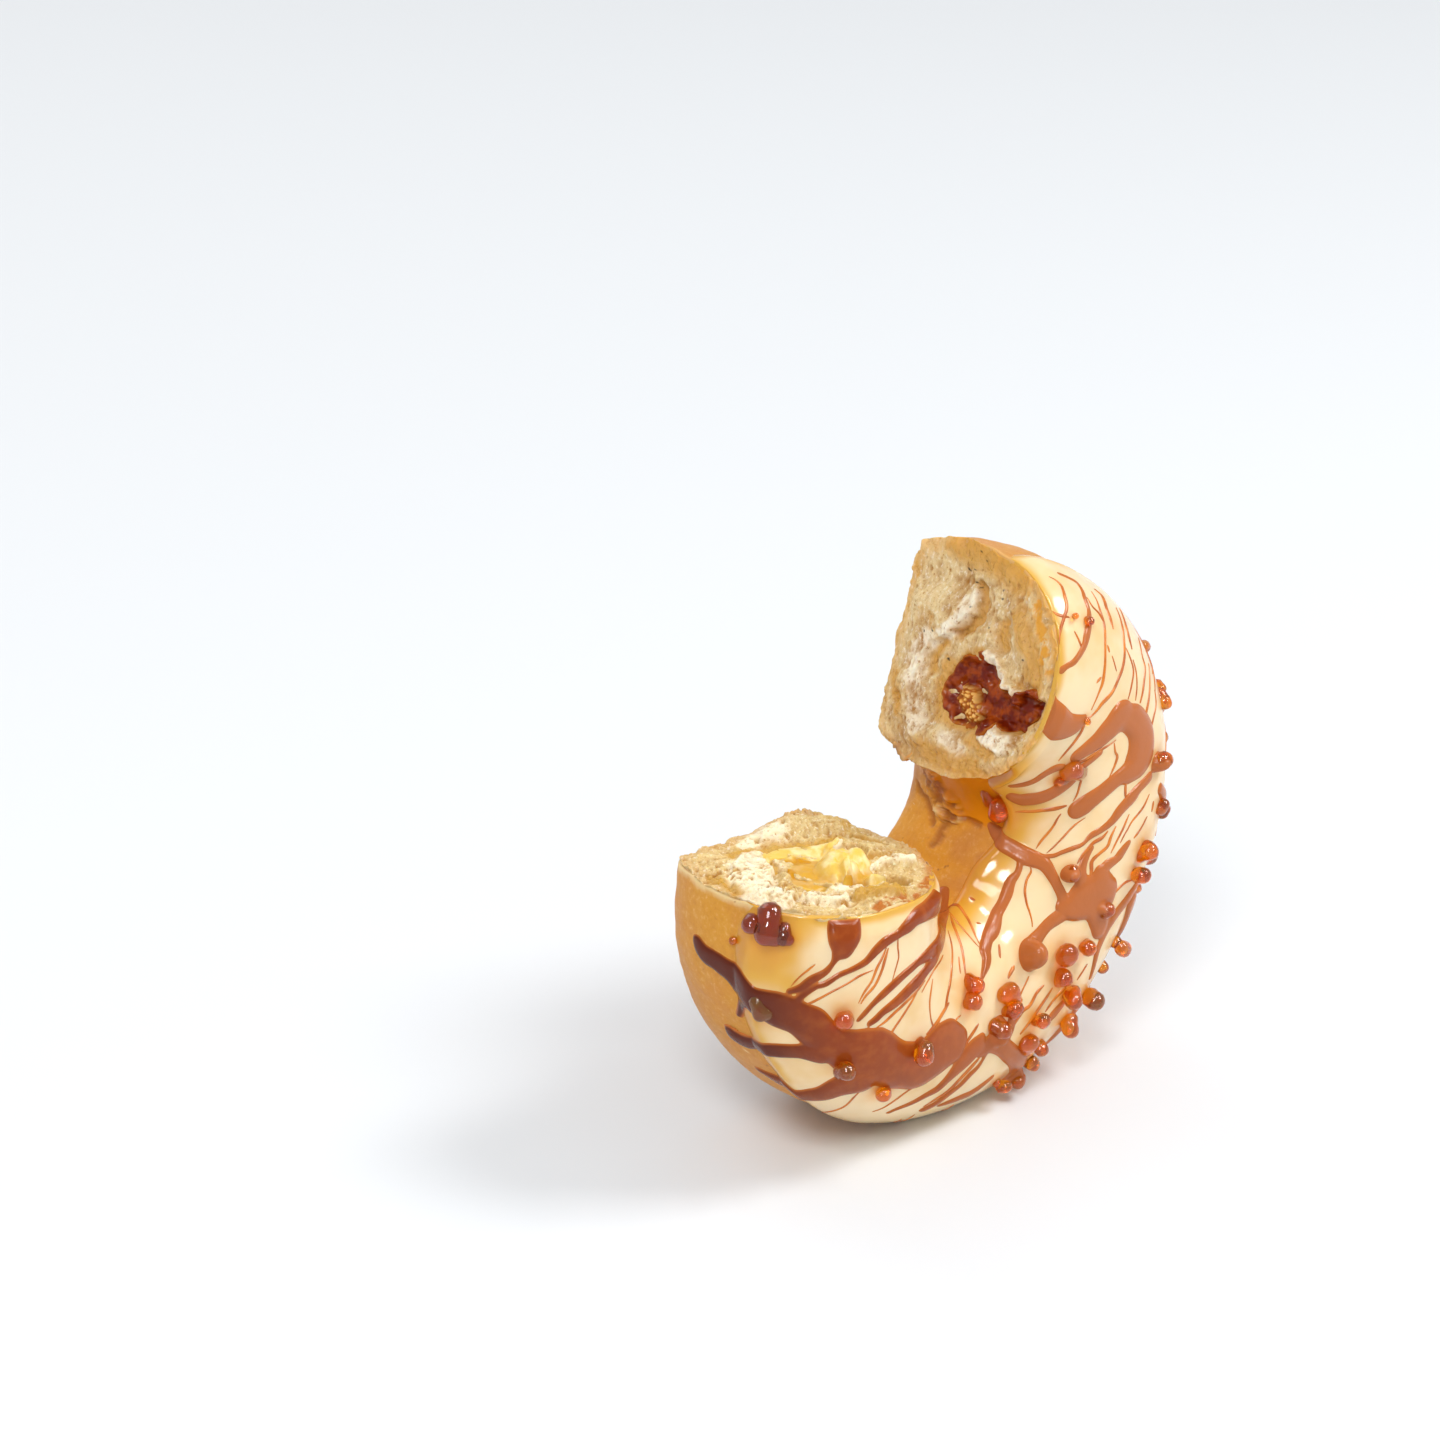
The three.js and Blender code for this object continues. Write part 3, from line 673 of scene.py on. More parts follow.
# Where the custard lies on the torn face, as the crumb's forms are given.
CUSTARD_MIDDLE = (-1.4, 2.2)
CUSTARD_REACH = 10.5
CUSTARD_LUMP = [(-2.6, 4.6), (-5.0, 3.0), (-5.8, 4.2)]
CUSTARD_POOL = [(3.0, 3.6), (-1, 0.6), (-6.0, 7.2)]
CUSTARD_SMEARS = [
    ([(5, -6.6), (-1.5, -6.4), (-7.5, -2.6)], 0.7, 1.2),
    ([(-0.5, -3.6), (-6.6, -0.4)], 0.5, 1.0),
]
CUSTARD_SHARDS = [([(-1.6, 6.6), (0.4, 9.4)], 0.25, 0.7), ([(-4.8, 10.6), (-6.2, 11.6)], 0.7, 1.0)]
CUSTARD_DEEP = [
    ([(-0.2, -2.4), (-1.6, -2.0)], 0.9, 1.4),
    ([(-0.6, 9.4), (-2.2, 10.4)], 1.0, 1.2),
    ([(3.6, -0.6), (4.2, 3)], 0.4, 1.0),
]


def custard_surface(flat, depth):
    """The custard's height on the lower face, under the crumb where none shows, and its marks."""
    coarse, _, ragged = crumb_relief(TORN_LOW, flat, LOW_FORMS)
    pool = near_path(ragged, CUSTARD_POOL, 3.1, 1.2)
    lump = near_path(flat + 0.25 * (ragged - flat), CUSTARD_LUMP, 1.5, 2.6)
    smears = strongest(ragged, CUSTARD_SMEARS)
    shards = strongest(ragged, CUSTARD_SHARDS)
    folds = 0.5 * stretched(flat, 2.0, -35, 2.0, 61) + 0.25 * stretched(flat, 1.5, 50, 0.8, 62)
    cover = np.maximum.reduce([pool, smears, shards, lump])
    relief = coarse - 1.2 + 1.5 * smooth(cover, 0.0, 0.5) + 0.35 * folds
    relief = mix(relief, -0.35 + 0.5 * folds, pool)
    relief = relief + 2.4 * lump**0.8 * (1 + 0.3 * folds) + 1.1 * shards
    relief = relief - 1.5 * smooth(depth, 0.9, 1.0)
    deep = np.clip(0.7 * pool - 1.3 * lump - shards, 0, 1)
    return relief, {"deep": np.maximum(deep, strongest(ragged, CUSTARD_DEEP))}


# Set custard is smooth, wet and lets light in a little, so it glows yellow where it is thin and is deeper
# yellow in its folds.
custard, tree, shader = new_material(
    "set_custard",
    {
        "Roughness": 0.28,
        "IOR": 1.38,
        "Specular IOR Level": 0.35,
        "Subsurface Weight": 0.3,
        "Subsurface Radius": (1.0, 0.9, 0.45),
        "Subsurface Scale": 1.5 * MM,
    },
)
swirl = pattern(tree, "ShaderNodeTexNoise", 2.2, Detail=4.0)
pale = blend_colours(tree, ramp(tree, swirl, 0.4, 0.65), "#E8C25A", "#F2DCA0")
tree.links.new(blend_colours(tree, attribute(tree, "deep"), pale, "#C88C08"), shader.inputs["Base Color"])
bumped(tree, shader, swirl, 0.2)
points, values = filling_sheet(TORN_LOW, CUSTARD_MIDDLE, CUSTARD_REACH, custard_surface)
custard_piece = grid_piece("custard", points, closed=True, **values)
custard_piece.data.materials.append(custard)
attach(custard_piece, "root")
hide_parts("custard_filling")

# Caramel
# Dark caramel that was piped into the ring's other side. It lies sunk in the upper crumb, with a tail towards
# the icing and a lump of sugar grains that never dissolved.
CARAMEL_MIDDLE = (-4.4, 6.0)
CARAMEL_REACH = 12.0
CARAMEL_POOL = [(-1.8, 3.2), (-5.8, 1.8), (-6.4, 6.0)]
CARAMEL_TAIL = [(-4.8, 7.5), (-5.6, 11.8), (-2.6, 15.6)]
SUGAR_GRAINS = [(-5.6, 2.6), (-7.2, 4.2)]


def caramel_surface(flat, depth):
    """The caramel's height on the upper face, with its lump of sugar grains, and its marks."""
    coarse, _, ragged = crumb_relief(TORN_HIGH, flat, HIGH_FORMS)
    pool = near_path(ragged, CARAMEL_POOL, 2.9, 1.8)
    tail = near_path(ragged, CARAMEL_TAIL, 1.9, 0.9)
    grains = near_path(ragged, SUGAR_GRAINS, 1.0, 1.3)
    deep = in_space(flat)
    blobs = lumps(deep, 1.9, 71) + 0.6 * lumps(deep, 0.8, 72)
    cover = np.maximum(pool, tail)
    relief = mix(coarse - 1.4, np.maximum(coarse, -2.2) + 0.35 + 0.45 * blobs, smooth(cover, 0.0, 0.6))
    granules = 0.5 * (1 - smooth(bubbles(deep + 0.2 * blobs[..., None], 0.62, 73), 0.15, 0.8))
    relief = relief + grains * (1.1 + granules)
    relief = relief - 1.5 * smooth(depth, 0.9, 1.0)
    thin = 1 - smooth(cover + 0.15 * blobs, 0.45, 0.95)
    return relief, {"golden": grains * smooth(granules, -0.2, 0.3), "grained": granules, "thin": thin}


# Caramel boiled dark is nearly black-red where it is thick, amber where it is thin, and wet. Its undissolved
# sugar is a crumbly golden lump.
caramel, tree, shader = new_material(
    "wet_caramel",
    {
        "Roughness": 0.14,
        "IOR": 1.4,
        "Specular IOR Level": 0.35,
        "Subsurface Weight": 0.15,
        "Subsurface Radius": (1.0, 0.4, 0.1),
        "Subsurface Scale": 1.5 * MM,
    },
)
clots = pattern(tree, "ShaderNodeTexNoise", 1.8, Detail=4.0)
dark = blend_colours(tree, ramp(tree, clots, 0.42, 0.66), "#6C1A03", "#9C4008")
dark = blend_colours(tree, attribute(tree, "thin"), dark, "#AE6014")
grainy = blend_colours(tree, ramp(tree, attribute(tree, "grained"), 0.05, 0.45), "#C87816", "#F0BC68")
tree.links.new(blend_colours(tree, attribute(tree, "golden"), dark, grainy), shader.inputs["Base Color"])
bumped(tree, shader, clots, 0.3)
points, values = filling_sheet(TORN_HIGH, CARAMEL_MIDDLE, CARAMEL_REACH, caramel_surface)
caramel_piece = grid_piece("caramel", points, closed=True, **values)
caramel_piece.data.materials.append(caramel)
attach(caramel_piece, "root")
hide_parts("caramel_filling")

# Icing
# A coat of white-chocolate icing that the ring was dipped in, iced side down. It is about a millimetre thick,
# ends in a rounded bead beside the rim and inside the hole, and set glossy.
ICING_LEVEL = 0.8
ICING_FOOT = -0.9
EDGE_ROUND = 1.3
RIM_FEATHER = 3.4


def icing_rim_edge(theta):
    """Where round the tube the icing ends beside the rim."""
    edge = 11 + 3 * np.sin(np.radians(3.1 * theta + 40)) + 2.5 * np.sin(np.radians(7.3 * theta))
    return edge - 5 * np.exp(-(((theta - 208) / 13) ** 2))


def icing_hole_edge(theta):
    """Where round the tube the icing ends in the hole."""
    return 161 + 3 * np.sin(np.radians(2.7 * theta)) - 28 * smooth(theta, 408, 432)


def from_tears(theta):
    """How far the nearer tear is, in mm along the ring."""
    return np.radians(np.minimum(theta - TORN_LOW, TORN_HIGH - theta)) * middle_radius(theta)


def icing_height(theta, phi):
    """The icing's face over the nominal surface, falling away outside its two edges."""
    inside = np.minimum(phi - icing_rim_edge(theta), icing_hole_edge(theta) - phi) * PHI_MM
    from_rim = (phi - icing_rim_edge(theta)) * PHI_MM
    rounded = np.sqrt(1 - (1 - np.clip(inside / EDGE_ROUND, 0, 1)) ** 2)
    rounded = rounded * mix(0.4, 1, smooth(from_rim, 0.0, RIM_FEATHER))
    bead = 0.2 * np.exp(-(((inside - 1.6) / 1.1) ** 2)) * smooth(from_rim, 1, 6)
    where = place(theta, *section(theta, phi, 0))
    waves = 0.1 * lumps(where, 8.0, 51) + 0.03 * lumps(where, 3.0, 52)
    whole = 0.42 + 0.58 * smooth(from_tears(theta), 0.0, 3.0)
    return ICING_FOOT + (ICING_LEVEL - ICING_FOOT + waves + bead) * rounded * whole


def thin_icing(theta, phi):
    """1 where the icing is so thin that the golden crust shows through it, 0 where it covers; near the lower
    tear on the rim side it also carries painted shade.
    """
    where = place(theta, *section(theta, phi, 0))
    wander = 1.6 * lumps(where, 7.0, 56) + 0.6 * lumps(where, 2.5, 57)
    from_rim = (phi - icing_rim_edge(theta)) * PHI_MM + wander
    from_hole = (icing_hole_edge(theta) - phi) * PHI_MM + wander
    # Painted shade: near the lower tear on the rim side the icing is painted darker gold, besides being thin
    # there.
    stain_and_shade = 0.75 * (1 - smooth(theta + 3 * wander, 184, 200)) * (1 - smooth(phi + 8 * wander, 26, 62))
    thin = np.maximum(1 - smooth(from_rim, 0.3, 5.0), 0.9 - 0.9 * smooth(from_hole, 0.5, 9.0))
    at_tears = 0.6 - 0.6 * smooth(from_tears(theta) + 0.3 * wander, 0.3, 2.0)
    return np.maximum.reduce([thin, stain_and_shade, at_tears])


# Set white chocolate is glossy and lets light in, so it is a warm cream, golden where it is thin, and amber
# where syrup has run from the lumps. Near the lower tear on the rim side it is painted darker gold, partly
# thin icing and partly painted shade.
icing, tree, shader = new_material(
    "glossy_cream_icing",
    {
        "Roughness": 0.11,
        "IOR": 1.47,
        "Specular IOR Level": 0.4,
        "Subsurface Weight": 0.25,
        "Subsurface Radius": (1.0, 0.75, 0.45),
        "Subsurface Scale": 2 * MM,
    },
)
cloudy = pattern(tree, "ShaderNodeTexNoise", 9.0, Detail=3.0)
cream = blend_colours(tree, ramp(tree, cloudy, 0.35, 0.75), "#F2D8AC", "#EBC68C")
cream = blend_colours(tree, ramp(tree, attribute(tree, "thin"), 0.0, 0.65), cream, "#DEA944")
cream = blend_colours(tree, ramp(tree, attribute(tree, "thin"), 0.55, 1.0), cream, "#CE8E2C")
stain_and_shade = blend_colours(tree, attribute(tree, "syrup"), cream, "#E2922A")
tree.links.new(stain_and_shade, shader.inputs["Base Color"])

# The lumps of caramel crunch, as the two angles and the size in mm, are named here because their syrup has
# stained the icing round them.
CRUNCH = [
    (178, 24, 4.4), (176.5, 16, 3.4), (178.5, 32, 2.4), (182, 6, 1.5), (196, 20, 3.0), (199, 60, 3.2),
    (212, 52, 3.2), (226, 84, 3.4), (227, 58, 2.6), (245, 114, 3.2), (244, 106, 3.2), (336, 116, 2.2),
    (423, 56, 1.6), (428, 54, 1.1), (379, 46, 2.6), (381, 40, 1.8), (401, 117, 3.4), (398, 126, 1.8),
    (371, 70, 3.0), (380, 159, 3.4), (380, 166, 2.2), (357, 64, 2.6), (354, 55, 2.4), (414, 96, 1.2),
    (346, 76, 3.4), (339, 78, 3.0), (325, 89, 2.6), (319, 54, 2.9), (310, 89, 2.9), (302, 96, 3.8),
    (295, 91, 3.2), (303, 60, 3.6), (295, 81, 3.2), (293, 62, 3.1), (267, 106, 3.5), (266, 98, 2.6),
    (262, 92, 3.5), (280, 86, 2.6), (277, 78, 3.2), (282, 66, 2.6), (282, 51, 2.6), (277, 49, 2.6),
    (270, 57, 2.2), (287, 112, 3.6),
]
# Chocolate has run over these. As many more lumps as STREWN_COUNT lie on the side that the photo hides, none
# nearer to another than CRUNCH_SPACING mm or lower than LOWEST_LUMP mm.
COATED = [(336, 116, 3.2), (287, 112, 5.0), (277, 49, 3.6), (262, 91, 3.4), (325, 89, 2.6), (371, 71, 3.2)]
STREWN_COUNT = 18
CRUNCH_SPACING = 5.0
LOWEST_LUMP = 9

draw = np.random.default_rng(11)
crunch = [(*lump, surface(np.float64(lump[0]), np.float64(lump[1]), ICING_LEVEL)) for lump in CRUNCH]
while len(crunch) < len(CRUNCH) + STREWN_COUNT:
    theta, phi, size = draw.uniform(255, 385), draw.uniform(13, 36), draw.uniform(2.0, 3.4)
    at = surface(np.float64(theta), np.float64(phi), ICING_LEVEL)
    clear = min(np.linalg.norm(at - other[3]) for other in crunch) > CRUNCH_SPACING
    if clear and at[2] > LOWEST_LUMP:
        crunch.append((theta, phi, size, at))

rows = np.linspace(0, 1, 420)[:, None]
across = np.linspace(0, 1, 170)
across = across - np.sin(2 * np.pi * across) / (2 * np.pi) * 0.55
drawn_back = 0.25 + 0.25 * lumps(np.stack([9 * across, 0 * across, 0 * across], -1), 1.0, 55)
theta = mix(TORN_LOW + drawn_back, TORN_HIGH - drawn_back, rows)
phi = mix(icing_rim_edge(theta), icing_hole_edge(theta), across)
level = icing_height(theta, phi)
coat = surface(theta, phi, level)
low_end = [surface(theta[0], phi[0], mix(level[0], ICING_FOOT, t)) for t in (1.0, 0.5, 0.12)]
high_end = [surface(theta[-1], phi[-1], mix(level[-1], ICING_FOOT, t)) for t in (0.12, 0.5, 1.0)]
coat = np.concatenate([low_end, coat, high_end])
syrup = np.zeros(coat.shape[:2])
for size, at in [lump[2:] for lump in crunch]:
    strength = draw.uniform(0.2, 1.0)
    syrup = np.maximum(syrup, strength * np.exp(-((np.linalg.norm(coat - at, axis=-1) / (0.85 * size)) ** 2)))
along_hole = (icing_hole_edge(theta) - phi) * PHI_MM
along_hole = 0.7 * np.exp(-((along_hole / 0.7) ** 2))
along_hole = along_hole * smooth(theta, 250, 270) * (1 - smooth(theta, 345, 352))
syrup[3:-3] = np.maximum(syrup[3:-3], along_hole)
thin = thin_icing(theta, phi)
thin = np.concatenate([thin[[0, 0, 0]], thin, thin[[-1, -1, -1]]])
icing_piece = grid_piece("icing_coat", coat, syrup=syrup, thin=thin)
icing_piece.data.materials.append(icing)
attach(icing_piece, "root")
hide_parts("icing")

# Chocolate drizzle
# Melted milk chocolate flicked across the icing from a spoon. Its pools and wide streaks are one film where
# they cross, and a few fingers run past the icing onto the crust. Runs that are narrow all along are threads.

# Each run is a path through places on the icing: theta, phi and the run's width there in mm.
RUNS = [
    [(186, -10, 2.5), (188, -6, 3.8), (188.5, 0, 3.6), (190, 7, 4.2), (193.5, 14, 5.2),
     (195.5, 25, 7.4), (198.5, 38, 7.4), (206, 50, 7.4), (212.5, 62, 10.8), (222, 68, 8.5),
     (231, 75, 9), (237, 85, 8), (243.5, 88, 4.9)],
    [(191.5, 7, 2.5), (194.5, 9, 2.1), (197.5, 7, 1.5), (200.5, 4, 1.1)],
    [(206, -2, 2), (207.5, 2, 3.6), (207, 10, 3), (206.5, 22, 3.3), (206.5, 33, 3.3), (208, 44, 5.1)],
    [(218, 1, 1.5), (219.5, 10, 3.3), (221, 18, 3.3), (220.5, 30, 4.1), (219.5, 43, 5.1),
     (220, 54, 7.1)],
    [(173.5, 62, 4.3), (176.5, 63, 6), (179.5, 62, 4.4), (182, 59, 2), (184, 57, 1.1), (186, 53, 1.3),
     (187.5, 46, 1.6), (189.5, 40, 1.4), (190.5, 34, 1.1)],
    [(184, 48, 0.4), (185.5, 44, 0.4), (187, 40, 0.3), (189.5, 35, 0.3)],
    [(182, 121, 3.8), (179, 102, 3), (180.5, 94, 2.7), (182, 90, 1.7), (182.5, 84, 2), (184, 79, 1.8),
     (186, 74, 1.4), (187, 66, 1.1), (187.5, 60, 1.1), (189, 53, 1.2), (189.5, 48, 1.1), (191, 42, 1.3),
     (192.5, 38, 1.4)],
    [(189.5, 78, 0.4), (189.5, 71, 0.5), (190.5, 64, 0.4), (191.5, 56, 0.4), (192.5, 50, 0.5),
     (193.5, 44, 0.7), (193.5, 39, 1)],
    [(184.5, 85, 0.7), (187, 83, 0.6), (189.5, 80, 0.7), (192.5, 77, 0.5), (195, 72, 0.5),
     (197.5, 68, 0.3)],
    [(185, 86, 0.7), (188.5, 84, 0.8), (191.5, 82, 0.7), (194.5, 78, 0.7), (196, 73, 0.7),
     (198, 69, 0.7)],
    [(183, 90, 0.3), (186.5, 90, 0.4), (191, 90, 0.3), (195, 88, 0.3), (197.5, 86, 0.3)],
    [(272.5, 169, 1.9), (256.5, 162, 2.1), (236.5, 152, 2), (215.5, 132, 3.1), (204, 114, 3.1),
     (199, 102, 1.8), (198, 94, 1.6), (198, 88, 1.7), (198.5, 82, 1.6), (199.5, 76, 1.2),
     (201, 70, 1.1), (202, 66, 0.8)],
    [(210, 124, 2), (208, 114, 2.3), (206, 104, 2.2), (205.5, 98, 2.4), (205, 92, 2.4), (204.5, 86, 2),
     (204, 80, 1.6), (204.5, 75, 1.5), (204.5, 71, 1.1)],
    [(209, 101, 0.8), (208.5, 94, 0.7), (208, 90, 0.8), (207.5, 84, 0.8), (207.5, 78, 0.7),
     (207, 73, 0.6)],
    [(208.5, 96, 0.6), (210, 91, 0.6), (211, 87, 0.6), (212, 81, 0.6), (213.5, 77, 0.7),
     (215, 74, 0.8)],
    [(218.5, 123, 0.4), (212, 110, 0.5), (211, 101, 0.5), (211.5, 96, 0.5)],
    [(213.5, 106, 0.4), (216, 102, 0.5), (219, 98, 0.5), (224, 94, 0.3), (228, 92, 0.5),
     (230.5, 91, 0.6)],
    [(234.5, 144, 0.4), (233, 136, 0.5), (231.5, 130, 0.5), (229.5, 122, 0.6), (229, 112, 0.8),
     (229, 106, 0.8), (230, 101, 0.9), (229.5, 96, 1), (230, 92, 1)],
    [(231.5, 104, 1), (230, 100, 1.3), (228.5, 94, 1.2), (227, 90, 1), (226, 89, 1.2)],
    [(261, 162, 0.6), (262.5, 158, 0.8), (262.5, 154, 0.8), (261.5, 148, 0.7), (260, 144, 0.6),
     (258.5, 138, 0.6), (258.5, 132, 0.5)],
    [(248.5, 156, 0.4), (249.5, 150, 0.4), (251.5, 144, 0.4), (254, 138, 0.3), (257, 132, 0.3)],
    [(247, 154, 0.6), (244, 146, 0.9), (243, 140, 0.8), (242.5, 134, 0.7), (241.5, 127, 0.8),
     (241.5, 119, 1)],
    [(237.5, 129, 0.4), (237, 124, 0.4), (237.5, 119, 0.4)],
    [(241, 100, 0.3), (239, 98, 0.4), (238.5, 95, 0.4)],
    [(223, 50, 0.4), (224.5, 44, 0.5), (227, 36, 0.5), (228.5, 28, 0.5), (230, 18, 0.4)],
    [(237.5, 75, 0.6), (236.5, 70, 0.5), (234.5, 64, 0.5), (234, 56, 0.5), (234, 47, 0.4),
     (233.5, 41, 0.4)],
    [(254.5, 88, 2.9), (251, 85, 3.6), (248, 80, 2.8), (246, 74, 2), (244.5, 68, 1.8), (242, 63, 1.5),
     (240, 57, 1.3), (238, 50, 1), (237.5, 44, 0.8)],
    [(257, 84, 0.8), (254.5, 80, 1.3), (252.5, 76, 1.3), (251, 72, 1.3), (249.5, 66, 1.3), (247, 60, 1),
     (245.5, 53, 1)],
    [(259.5, 86, 0.4), (257, 78, 1), (254.5, 74, 1.3), (252.5, 68, 1.3), (250.5, 63, 1.5),
     (249, 57, 1.8), (247, 51, 1.8)],
    [(252, 96, 0.8), (249.5, 92, 1), (247, 88, 0.9), (246.5, 84, 0.5)],
    [(265.5, 66, 1), (262, 61, 1.8), (259.5, 58, 2), (256.5, 57, 2), (253.5, 55, 1.5), (251, 53, 0.8)],
    [(277.5, 156, 0.5), (279, 154, 0.7), (280, 152, 0.5)],
    [(265.5, 144, 0.5), (269, 142, 0.4)],
    [(425.5, 27, 0.5), (423, 29, 0.6), (421, 31, 0.8), (420.5, 36, 0.9), (421, 42, 1.1), (421, 49, 1.1),
     (422, 56, 1.5), (423.5, 63, 1.7), (424.5, 68, 1.4), (426, 72, 1.3), (428, 76, 1.1), (430, 78, 1),
     (431.5, 80, 1.3)],
    [(429, 29, 0.4), (428, 32, 0.5), (427.5, 36, 0.6), (428, 42, 0.8), (428.5, 48, 0.8), (430, 54, 0.7),
     (431.5, 60, 0.7), (432.5, 68, 0.3)],
    [(432.5, 49, 0.3), (431.5, 51, 0.6), (429.5, 53, 0.8), (428, 54, 0.8)],
    [(428, 61, 0.3), (426.5, 66, 0.5), (425, 70, 0.8)],
    [(420, 40, 0.4), (419, 45, 0.5), (417, 48, 0.6), (415.5, 53, 0.8)],
    [(416.5, 34, 0.4), (416, 39, 0.5), (416, 46, 0.8), (415.5, 53, 0.9), (415.5, 62, 0.9),
     (415, 69, 0.8), (414, 76, 1), (413, 82, 1.3), (413, 86, 1), (413, 90, 0.9), (413, 93, 0.8)],
    [(414.5, 80, 0.7), (415.5, 82, 0.7), (416, 84, 0.4)],
    [(414, 30, 0.5), (412, 32, 1), (412, 37, 1.3), (412.5, 42, 1.5), (412, 48, 1.5), (411.5, 54, 1)],
    [(406.5, 34, 0.4), (406.5, 40, 0.8), (406.5, 46, 1), (406.5, 54, 1), (406, 62, 1), (406, 70, 1),
     (406.5, 76, 1), (407, 83, 1), (409, 88, 1.3), (410.5, 92, 1), (413, 96, 1.2)],
    [(414.5, 64, 0.5), (413, 68, 0.8)],
    [(412, 68, 0.3), (409.5, 72, 0.2), (408, 74, 0.2)],
    [(403.5, 30, 0.5), (404, 37, 0.8), (404, 46, 1.3), (403, 52, 1.3), (402, 56, 0.8)],
    [(405.5, 58, 0.4), (403, 61, 0.5), (400.5, 65, 0.5), (399.5, 71, 0.5), (398.5, 77, 0.6),
     (398, 80, 0.8)],
    [(401.5, 60, 0.4), (399, 64, 0.4), (396.5, 70, 0.4), (394.5, 76, 0.5)],
    [(396.5, 38, 0.5), (396.5, 49, 0.5), (394.5, 54, 0.6), (394, 62, 0.8), (393, 68, 0.9),
     (392, 74, 1.3)],
    [(392, 47, 0.4), (391, 56, 0.5), (389, 66, 0.8), (387.5, 72, 1), (385.5, 76, 0.8)],
    [(387, 55, 0.5), (384.5, 60, 0.5), (383.5, 67, 0.6), (381.5, 74, 0.8)],
    [(432.5, 92, 1.8), (432.5, 96, 3.9), (424.5, 101, 4.5), (417.5, 100, 3.5), (414.5, 96, 1.4)],
    [(404, 111, 2.5), (402, 105, 2.9), (400.5, 99, 3.4), (399.5, 93, 4.2), (397.5, 88, 4.4),
     (393.5, 84, 3.8), (388, 80, 5.6), (381.5, 80, 7.6), (378, 84, 6.6), (378, 92, 3.6),
     (377.5, 99, 3.1), (376, 106, 3.4), (374, 112, 3.8), (372, 119, 3.4)],
    [(402.5, 115, 0.8), (398.5, 110, 0.9), (396, 102, 0.8), (393.5, 96, 0.5), (392, 91, 0.5)],
    [(392, 93, 0.4), (388.5, 94, 0.5), (385.5, 94, 0.8), (382, 98, 0.5), (380, 101, 0.3)],
    [(415, 95, 1.2), (412.5, 99, 0.8), (412, 103, 0.9), (412, 108, 0.8), (412, 114, 0.6),
     (411, 120, 0.5)],
    [(357, 164, 1.1), (352, 160, 2.1), (346, 154, 2.6), (342, 146, 2.9), (340, 139, 2.9),
     (338, 132, 2.4), (332.5, 126, 2), (327, 120, 1.8), (322, 114, 2), (317, 112, 2.2),
     (321.5, 104, 5.6), (328, 98, 7.9), (334, 96, 5.5), (340, 99, 2.3)],
    [(326, 97, 4.5), (322.5, 90, 4), (317.5, 85, 3)],
    [(333.5, 143, 1.2), (324, 142, 1.2), (314, 143, 1.8), (303.5, 142, 2.1), (293.5, 141, 2),
     (284.5, 140, 2.3), (274, 136, 2.9), (267, 134, 2.5), (261.5, 130, 2.5), (260, 126, 2.1),
     (258, 123, 1.9), (254.5, 119, 1.2), (252.5, 116, 0.8)],
    [(272, 128, 0.5), (269.5, 124, 0.6), (268.5, 121, 0.5)],
    [(334, 138, 0.4), (329.5, 136, 0.5), (321.5, 136, 0.5), (313, 134, 0.5), (306.5, 130, 0.4),
     (303, 126, 0.4), (299.5, 122, 0.5), (297, 120, 0.6)],
    [(322.5, 102, 4.4), (317, 107, 2.9), (311.5, 111, 2.6), (304.5, 114, 2.3), (296.5, 115, 2.6),
     (290, 115, 3.6)],
    [(348, 138, 0.3), (355.5, 136, 0.5), (364, 132, 0.5), (369.5, 130, 0.5), (373, 128, 0.7)],
    [(346, 132, 0.3), (353, 128, 0.3), (359.5, 124, 0.4), (364, 120, 0.4), (367, 114, 0.3)],
    [(343, 134, 0.5), (345, 128, 0.7), (348, 124, 0.8), (350.5, 119, 0.9), (352.5, 114, 0.6),
     (356.5, 110, 1.2), (358.5, 104, 1.3), (361, 98, 1.8), (364, 94, 2.2), (366, 90, 2.3), (368, 86, 2),
     (369, 78, 2)],
    [(342, 114, 0.6), (347.5, 112, 0.8), (352.5, 108, 1), (354.5, 103, 1.1), (357.5, 100, 0.9)],
    [(331, 107, 2.4), (339.5, 110, 1.7), (345.5, 110, 1.4), (350.5, 108, 0.9)],
    [(358, 96, 0.8), (354, 98, 0.9), (350, 99, 0.9), (347, 103, 0.8), (343.5, 106, 1.1), (338, 104, 1),
     (332, 103, 0.7)],
    [(360.5, 90, 0.5), (355.5, 92, 0.6), (351.5, 94, 0.5), (346.5, 96, 0.5)],
    [(338.5, 98, 2), (342, 96, 2.2), (344, 92, 1.5), (347, 90, 1.3), (350, 88, 1)],
    [(328.5, 88, 0.6), (332.5, 86, 0.8), (335.5, 82, 0.8), (336.5, 76, 0.6)],
    [(338, 62, 1.3), (334.5, 68, 2), (330.5, 73, 2.5), (325.5, 78, 2.3), (320.5, 80, 2),
     (315.5, 79, 1.5), (312, 77, 1.5), (308.5, 72, 1.3), (306, 68, 1)],
    [(395, 152, 2), (390, 148, 2.7), (389.5, 144, 3), (389, 138, 2.9), (390, 130, 2.7), (392, 124, 2.9),
     (392.5, 119, 1.9), (395.5, 112, 1.4), (395, 106, 1.2), (394, 100, 0.9)],
    [(410, 149, 0.9), (407.5, 143, 1.3), (407, 137, 1.3), (408.5, 129, 1.5), (407.5, 123, 1.8),
     (405, 120, 1.3)],
    [(378.5, 152, 0.4), (377.5, 144, 0.7), (377.5, 138, 0.9), (377, 131, 1.1), (377, 124, 1.1)],
    [(405, 163, 0.8), (400.5, 160, 1.5), (400.5, 156, 1.3)],
